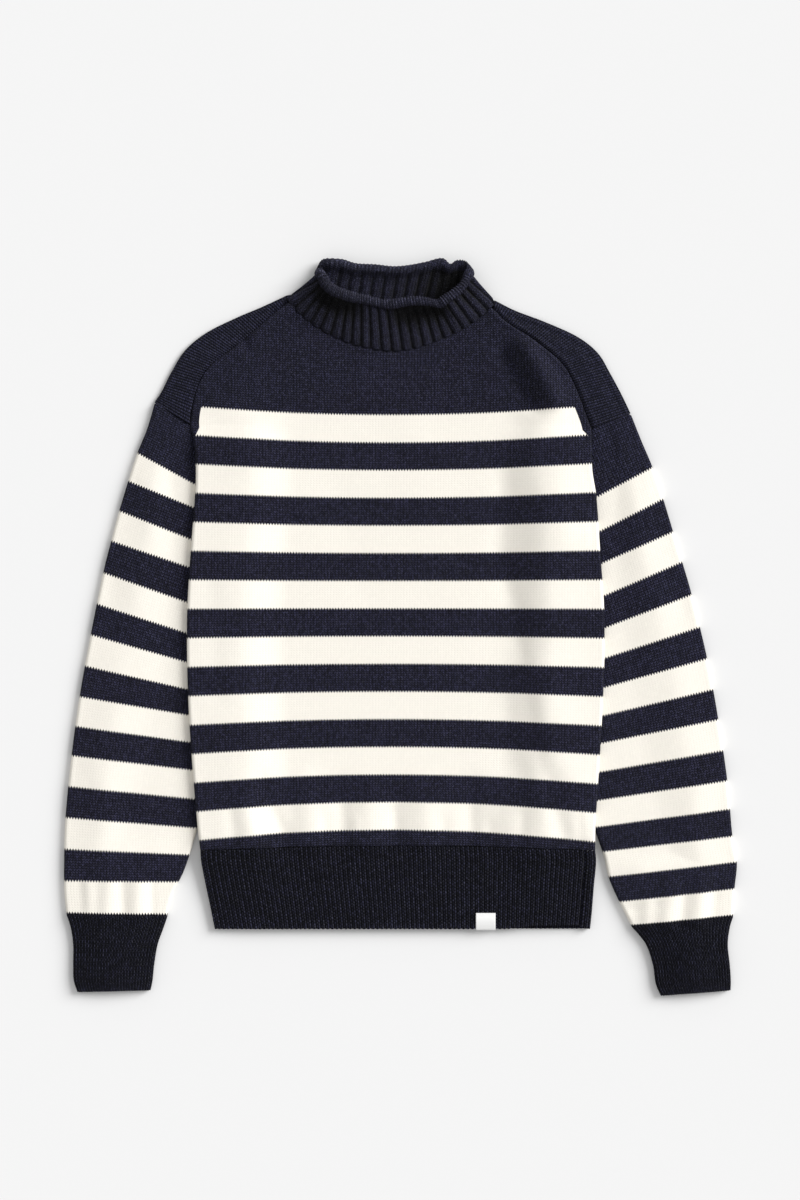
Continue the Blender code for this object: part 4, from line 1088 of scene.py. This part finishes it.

# The purl side shows on the roll. The roll is painted lighter towards its upper side, where the light
# falls, and the grooves, the hollows under the roll and the inside are painted darker as shade.
COLLAR_NAVY = (0.0400, 0.0405, 0.0860, 1.0)
ROLL_PAINTED_LIGHT_NAVY = (0.1150, 0.1160, 0.1950, 1.0)
PAINTED_SHADE_NAVY = (0.0020, 0.0020, 0.0035, 1.0)
# painted shade, as shares of the darkest: in the grooves, under the roll, in the inside's grooves and at
# its left end
GROOVE_PAINTED_SHADE = 0.75        # how dark the grooves are
HOLLOW_PAINTED_SHADE = 1.9         # and the hollows, deepest at this share of the height
HOLLOW_SHARE = 0.84
HOLLOW_REACH = 0.36
INSIDE_PAINTED_SHADE = 0.6         # the inside's grooves
SHADED_END_PAINTED_SHADE = 2.0           # and its left end, at this rib
SHADED_END_RIB = 25.0
SHADED_END_REACH = 4.2
# painted shade on the roll at that end, and painted light on the roll's upper side and along its strokes
SHADED_END_ROLL_SHADE = 1.3           # how much darker the roll is there
ROLL_PAINTED_LIGHT_START = 0.75     # the roll is light from this far below its middle up
STROKE_PAINTED_LIGHT = 0.7         # share of its light that the strokes have


def make_collar():
    def ring(table, at):
        keys = [row.number for row in table]
        return np.stack([smooth(keys, [getattr(row, axis) for row in table], at % RIBS_AROUND, RIBS_AROUND)
                         for axis in "xyz"], axis=-1)

    def unit(vectors):
        return vectors / np.linalg.norm(vectors, axis=1)[:, None]

    def groove(at):
        return np.exp(-(((at + 0.5) % 1.0 - 0.5) / RIB_GROOVE) ** 2)

    rise_to = np.concatenate([np.linspace(-COLLAR_BELOW, WALL_TOP, COLLAR_ROWS), np.ones(ROLL_ROWS),
                              np.linspace(INNER_TOP, 0, COLLAR_INNER_ROWS)])
    angles = np.zeros(len(rise_to))
    angles[COLLAR_ROWS:COLLAR_ROWS + ROLL_ROWS] = np.radians(np.linspace(ROLL_START, ROLL_END, ROLL_ROWS))

    def within(part, at):
        return ease((at - part.start) / part.rise) * (1 - ease((at - part.end) / part.fall))

    def place(step, level):
        at = (step / RIB_STEPS) % RIBS_AROUND
        base, top = ring(NECKLINE, at), ring(ROLL, at)
        pinch = within(PINCH_PART, at)
        top[:, 0] += PINCH_IN * pinch
        top[:, 2] += (PINCH_RISE * within(PINCH_OVER, (at + RIBS_AROUND / 2) % RIBS_AROUND)
                      - PINCH_SINK * pinch + CROSSING_RISE * within(CROSS_OVER, at)
                      - CROSSING_SINK * within(CROSS_UNDER, at))
        ahead, behind = [0.5 * (ring(NECKLINE, spot) + ring(ROLL, spot))
                         for spot in (at + RING_STEP, at - RING_STEP)]
        rise = unit(top - base)
        out = unit(np.cross(ahead - behind, rise))
        share = rise_to[level]
        outer = level < COLLAR_ROWS
        rolled = (level >= COLLAR_ROWS) & (level < COLLAR_ROWS + ROLL_ROWS)

        fade = 1 - ease((share - RIB_FADE) / (1 - RIB_FADE))
        under = sum(spot.depth * np.exp(-((at - spot.rib) / spot.width) ** 2) for spot in UNDER_ROLL)
        recess = under * np.exp(-((share - UNDER_ROLL_SHARE) / UNDER_ROLL_REACH) ** 2)
        tall = np.linalg.norm(top - base, axis=1)
        sewn = SEAM_DIP * np.exp(-(share * tall / SEAM_REACH) ** 2)
        rib = RIB_HEIGHT * (1 - groove(at)) * (RIB_LEFT + (1 - RIB_LEFT) * fade)
        face = np.where(outer, COLLAR_WALL / 2 + rib - sewn,
                        -COLLAR_WALL / 2 + INNER_RIB * groove(at + 0.5) * fade) - recess
        wall = base + (top - base) * share[:, None] + out * face[:, None]

        angle = angles[level]
        in_back = within(BACK_PART, at)
        offset = ROLL_OFFSET + ROLL_OVERHANG * under + (BACK_ROLL_OFFSET - ROLL_OFFSET) * in_back
        stroke = -np.cos(2 * math.pi * ROLL_STROKES * at)
        swollen = (ROLL_RADIUS + ROLL_STITCH * (1 - BACK_STROKE_LOSS * in_back) * stroke
                   + ROLL_LUMPS * np.sin(LUMP_RATES[0] * at) * np.sin(LUMP_RATES[1] * at + LUMP_SHIFT)
                   + ROLL_THICKER * np.exp(-((at - THICK_RIB) / THICK_RIB) ** 2))
        curl = (top + out * offset[:, None]
                + (swollen * np.cos(angle))[:, None] * out + (swollen * np.sin(angle))[:, None] * rise)
        points = np.where(rolled[:, None], curl, wall)
        points[:, 2] = np.maximum(points[:, 2], COLLAR_REST)

        courses = np.where(outer, share * tall, np.where(
            rolled, tall + ROLL_RADIUS * (angle - math.radians(ROLL_START)),
            2 * tall + ROLL_LENGTH - share * tall)) / COLLAR_COURSE
        wales = np.where(step == 0, RIBS_AROUND / 2, at - RIBS_AROUND / 2) * ROLL_WALES
        # painted shade under the roll, in the grooves, on the inside and at the inside's left end
        hidden = under / UNDER_ROLL[0].depth * np.exp(-((share - HOLLOW_SHARE) / HOLLOW_REACH) ** 2)
        shaded_end = np.exp(-((at - SHADED_END_RIB) / SHADED_END_REACH) ** 2)
        inside_shade = np.where(rolled, 0.0, INSIDE_PAINTED_SHADE * (groove(at + 0.5) + SHADED_END_PAINTED_SHADE * shaded_end))
        collar_shade = np.where(outer, GROOVE_PAINTED_SHADE * groove(at) + HOLLOW_PAINTED_SHADE * hidden, inside_shade)
        # painted light on the roll, lighter towards its upper side and along its strokes
        lit = (np.clip(np.sin(angle) + ROLL_PAINTED_LIGHT_START, 0.0, 1.0) * (1 - SHADED_END_ROLL_SHADE * shaded_end)
               * (1 - STROKE_PAINTED_LIGHT + STROKE_PAINTED_LIGHT * stroke))
        painted_shading = np.where(rolled, lit, -np.clip(collar_shade, 0.0, 1.0))
        return points, np.column_stack([wales, courses]), np.zeros(len(points)), painted_shading

    return knit_tube("collar_cloth", RIBS_AROUND * RIB_STEPS, len(rise_to), place)


COLLAR_RIB = knit_material("Navy collar rib", COLLAR_NAVY, relief=2.4, wale_depth=0.7,
                           slant=0.8, painted_shade_and_light=(PAINTED_SHADE_NAVY, ROLL_PAINTED_LIGHT_NAVY))
dress(make_collar(), COLLAR_RIB, "collar")


# ------------------------------------------------------------------ label
# A small plain label of woven white tape is folded over the lower edge of the front hem, with the
# longer half in front. It is sewn through both halves.

LABEL_X = (77.6, 97.8)
LABEL_FRONT = 17.0        # how far up the front it reaches
LABEL_BACK = 11.0
LABEL_CLEAR = 0.45        # between the tape and the knit
LABEL_TURN = 1.0          # where it starts to bend round the edge
LABEL_ROUND = 0.6         # radius of the bend
LABEL_LIFTS = (0.3, 0.1)  # how far its upper end and its middle stand off
LABEL_WALL = 0.8
LABEL_COLUMNS = 23
LABEL_WHITE = (0.86, 0.86, 0.85, 1.0)
# painted shade between two threads of the weave
LABEL_THREAD_SHADE = (0.7998, 0.7998, 0.7905, 1.0)    # between two threads
TAPE_THREADS = 700.0
TAPE_RELIEF = 0.2
TAPE_BUMP = 0.4
TAPE_ROUGHNESS = 0.6


def make_label():
    middle = 0.5 * (LABEL_X[0] + LABEL_X[1])
    last = np.array([float(len(HEM_SIDES) - 1)])
    ends = column(HEM_SIDES, "right", "y")(last)[0], column(HEM_SIDES, "left", "y")(last)[0]
    across = np.array([(middle - ends[0][0]) / (ends[1][0] - ends[0][0])])
    edge = hem_points(last, across, np.ones(1), np.array([True]))[0][0]
    inner = hem_points(last, across, np.ones(1), np.array([False]))[0][0]
    above, below, low = edge[2] + LABEL_CLEAR, inner[2] - LABEL_CLEAR, edge[1] - LABEL_CLEAR
    path = np.array([
        (low + LABEL_FRONT, above + LABEL_LIFTS[0]),
        (low + LABEL_FRONT / 2, above + LABEL_LIFTS[1]),
        (low + LABEL_TURN, above),
        (low, above - LABEL_ROUND),
        (low, below + LABEL_ROUND),
        (low + LABEL_TURN, below),
        (low + LABEL_BACK, below),
    ])
    outward = np.array([(0, 1), (0, 1), (-0.4, 1), (-1, 0.5), (-1, -0.5), (-0.4, -1), (0, -1)], float)
    columns = np.linspace(*LABEL_X, LABEL_COLUMNS)

    def place(across, along, outside):
        at = path[along] + np.where(outside, LABEL_WALL, 0.0)[:, None] * outward[along]
        points = np.column_stack([columns[across], at])
        return points, np.column_stack([across, along]).astype(float), np.ones(len(points))

    return knit_sheet("label_cloth", LABEL_COLUMNS, len(path), place)


def make_tape():
    material = bpy.data.materials.new("Woven tape")
    material.use_nodes = True
    tree = material.node_tree
    shader = tree.nodes["Principled BSDF"]
    place = node(tree, "ShaderNodeTexCoord")
    wave = node(tree, "ShaderNodeTexWave", {"Vector": place.outputs["Object"], "Scale": TAPE_THREADS},
                wave_type="BANDS", bands_direction="Y")
    threads = wave.outputs["Fac"]
    bump = node(tree, "ShaderNodeBump", {"Strength": TAPE_BUMP, "Distance": TAPE_RELIEF * MM,
                                         "Height": threads})
    tree.links.new(mix_colours(tree, threads, LABEL_THREAD_SHADE, LABEL_WHITE), shader.inputs["Base Color"])
    tree.links.new(bump.outputs[0], shader.inputs["Normal"])
    shader.inputs["Roughness"].default_value = TAPE_ROUGHNESS
    return material


dress(make_label(), make_tape(), "label")


# ------------------------------------------------------------------ table, light and camera
# The sweater lies on a plain pale surface under soft light from the right. The camera looks at it
# from straight above.

FLOOR_HALF = 30.0               # metres
FLOOR_COLOUR = (0.80, 0.80, 0.80, 1.0)
FLOOR_ROUGHNESS = 0.9
FLOOR_SPECULAR = 0.1
SUN_FROM = (0.97, 0.52, 0.62)   # direction towards the lamp
SUN_STRENGTH = 3.56
SUN_SPREAD = math.radians(34)   # its width, for soft shadows
SKY_STRENGTH = 0.590
HORIZON_STRENGTH = 0.915        # as light as the floor, where a low view looks past its edge
FRAME_TALL = 1.236              # metres that the picture takes in, from its lower edge to its upper one
FRAME_MIDDLE = (-0.0005, 0.0273)
FRAME_LEVEL = 0.008             # height of the knit that the picture is measured on
LENS = 90.0
SENSOR = 36.0


def make_floor():
    bm = bmesh.new()
    bmesh.ops.create_grid(bm, x_segments=1, y_segments=1, size=FLOOR_HALF)
    mesh = bpy.data.meshes.new("floor")
    bm.to_mesh(mesh)
    bm.free()
    material = bpy.data.materials.new("Pale paper")
    material.use_nodes = True
    shader = material.node_tree.nodes["Principled BSDF"]
    shader.inputs["Base Color"].default_value = FLOOR_COLOUR
    shader.inputs["Roughness"].default_value = FLOOR_ROUGHNESS
    shader.inputs["Specular IOR Level"].default_value = FLOOR_SPECULAR
    mesh.materials.append(material)
    floor = bpy.data.objects.new("floor", mesh)
    bpy.context.scene.collection.objects.link(floor)


make_floor()
lamp = bpy.data.lights.new("key", "SUN")
lamp.energy = SUN_STRENGTH
lamp.angle = SUN_SPREAD
key = bpy.data.objects.new("key", lamp)
key.rotation_euler = Vector(SUN_FROM).to_track_quat("Z", "Y").to_euler()
bpy.context.scene.collection.objects.link(key)
world = bpy.data.worlds.new("studio")
world.use_nodes = True
sky = world.node_tree.nodes["Background"]
sky.inputs["Color"].default_value = (1, 1, 1, 1)
seen = node(world.node_tree, "ShaderNodeLightPath").outputs["Is Camera Ray"]
strength = calc(world.node_tree, "MULTIPLY_ADD", seen, HORIZON_STRENGTH - SKY_STRENGTH, SKY_STRENGTH)
world.node_tree.links.new(strength, sky.inputs["Strength"])
bpy.context.scene.world = world
bpy.context.scene.view_settings.view_transform = "Standard"

camera = bpy.data.objects.new("camera", bpy.data.cameras.new("camera"))
camera.data.lens = LENS
camera.data.sensor_width = SENSOR
camera.location = (*FRAME_MIDDLE, FRAME_TALL * LENS / SENSOR + FRAME_LEVEL)
bpy.context.scene.collection.objects.link(camera)
bpy.context.scene.camera = camera
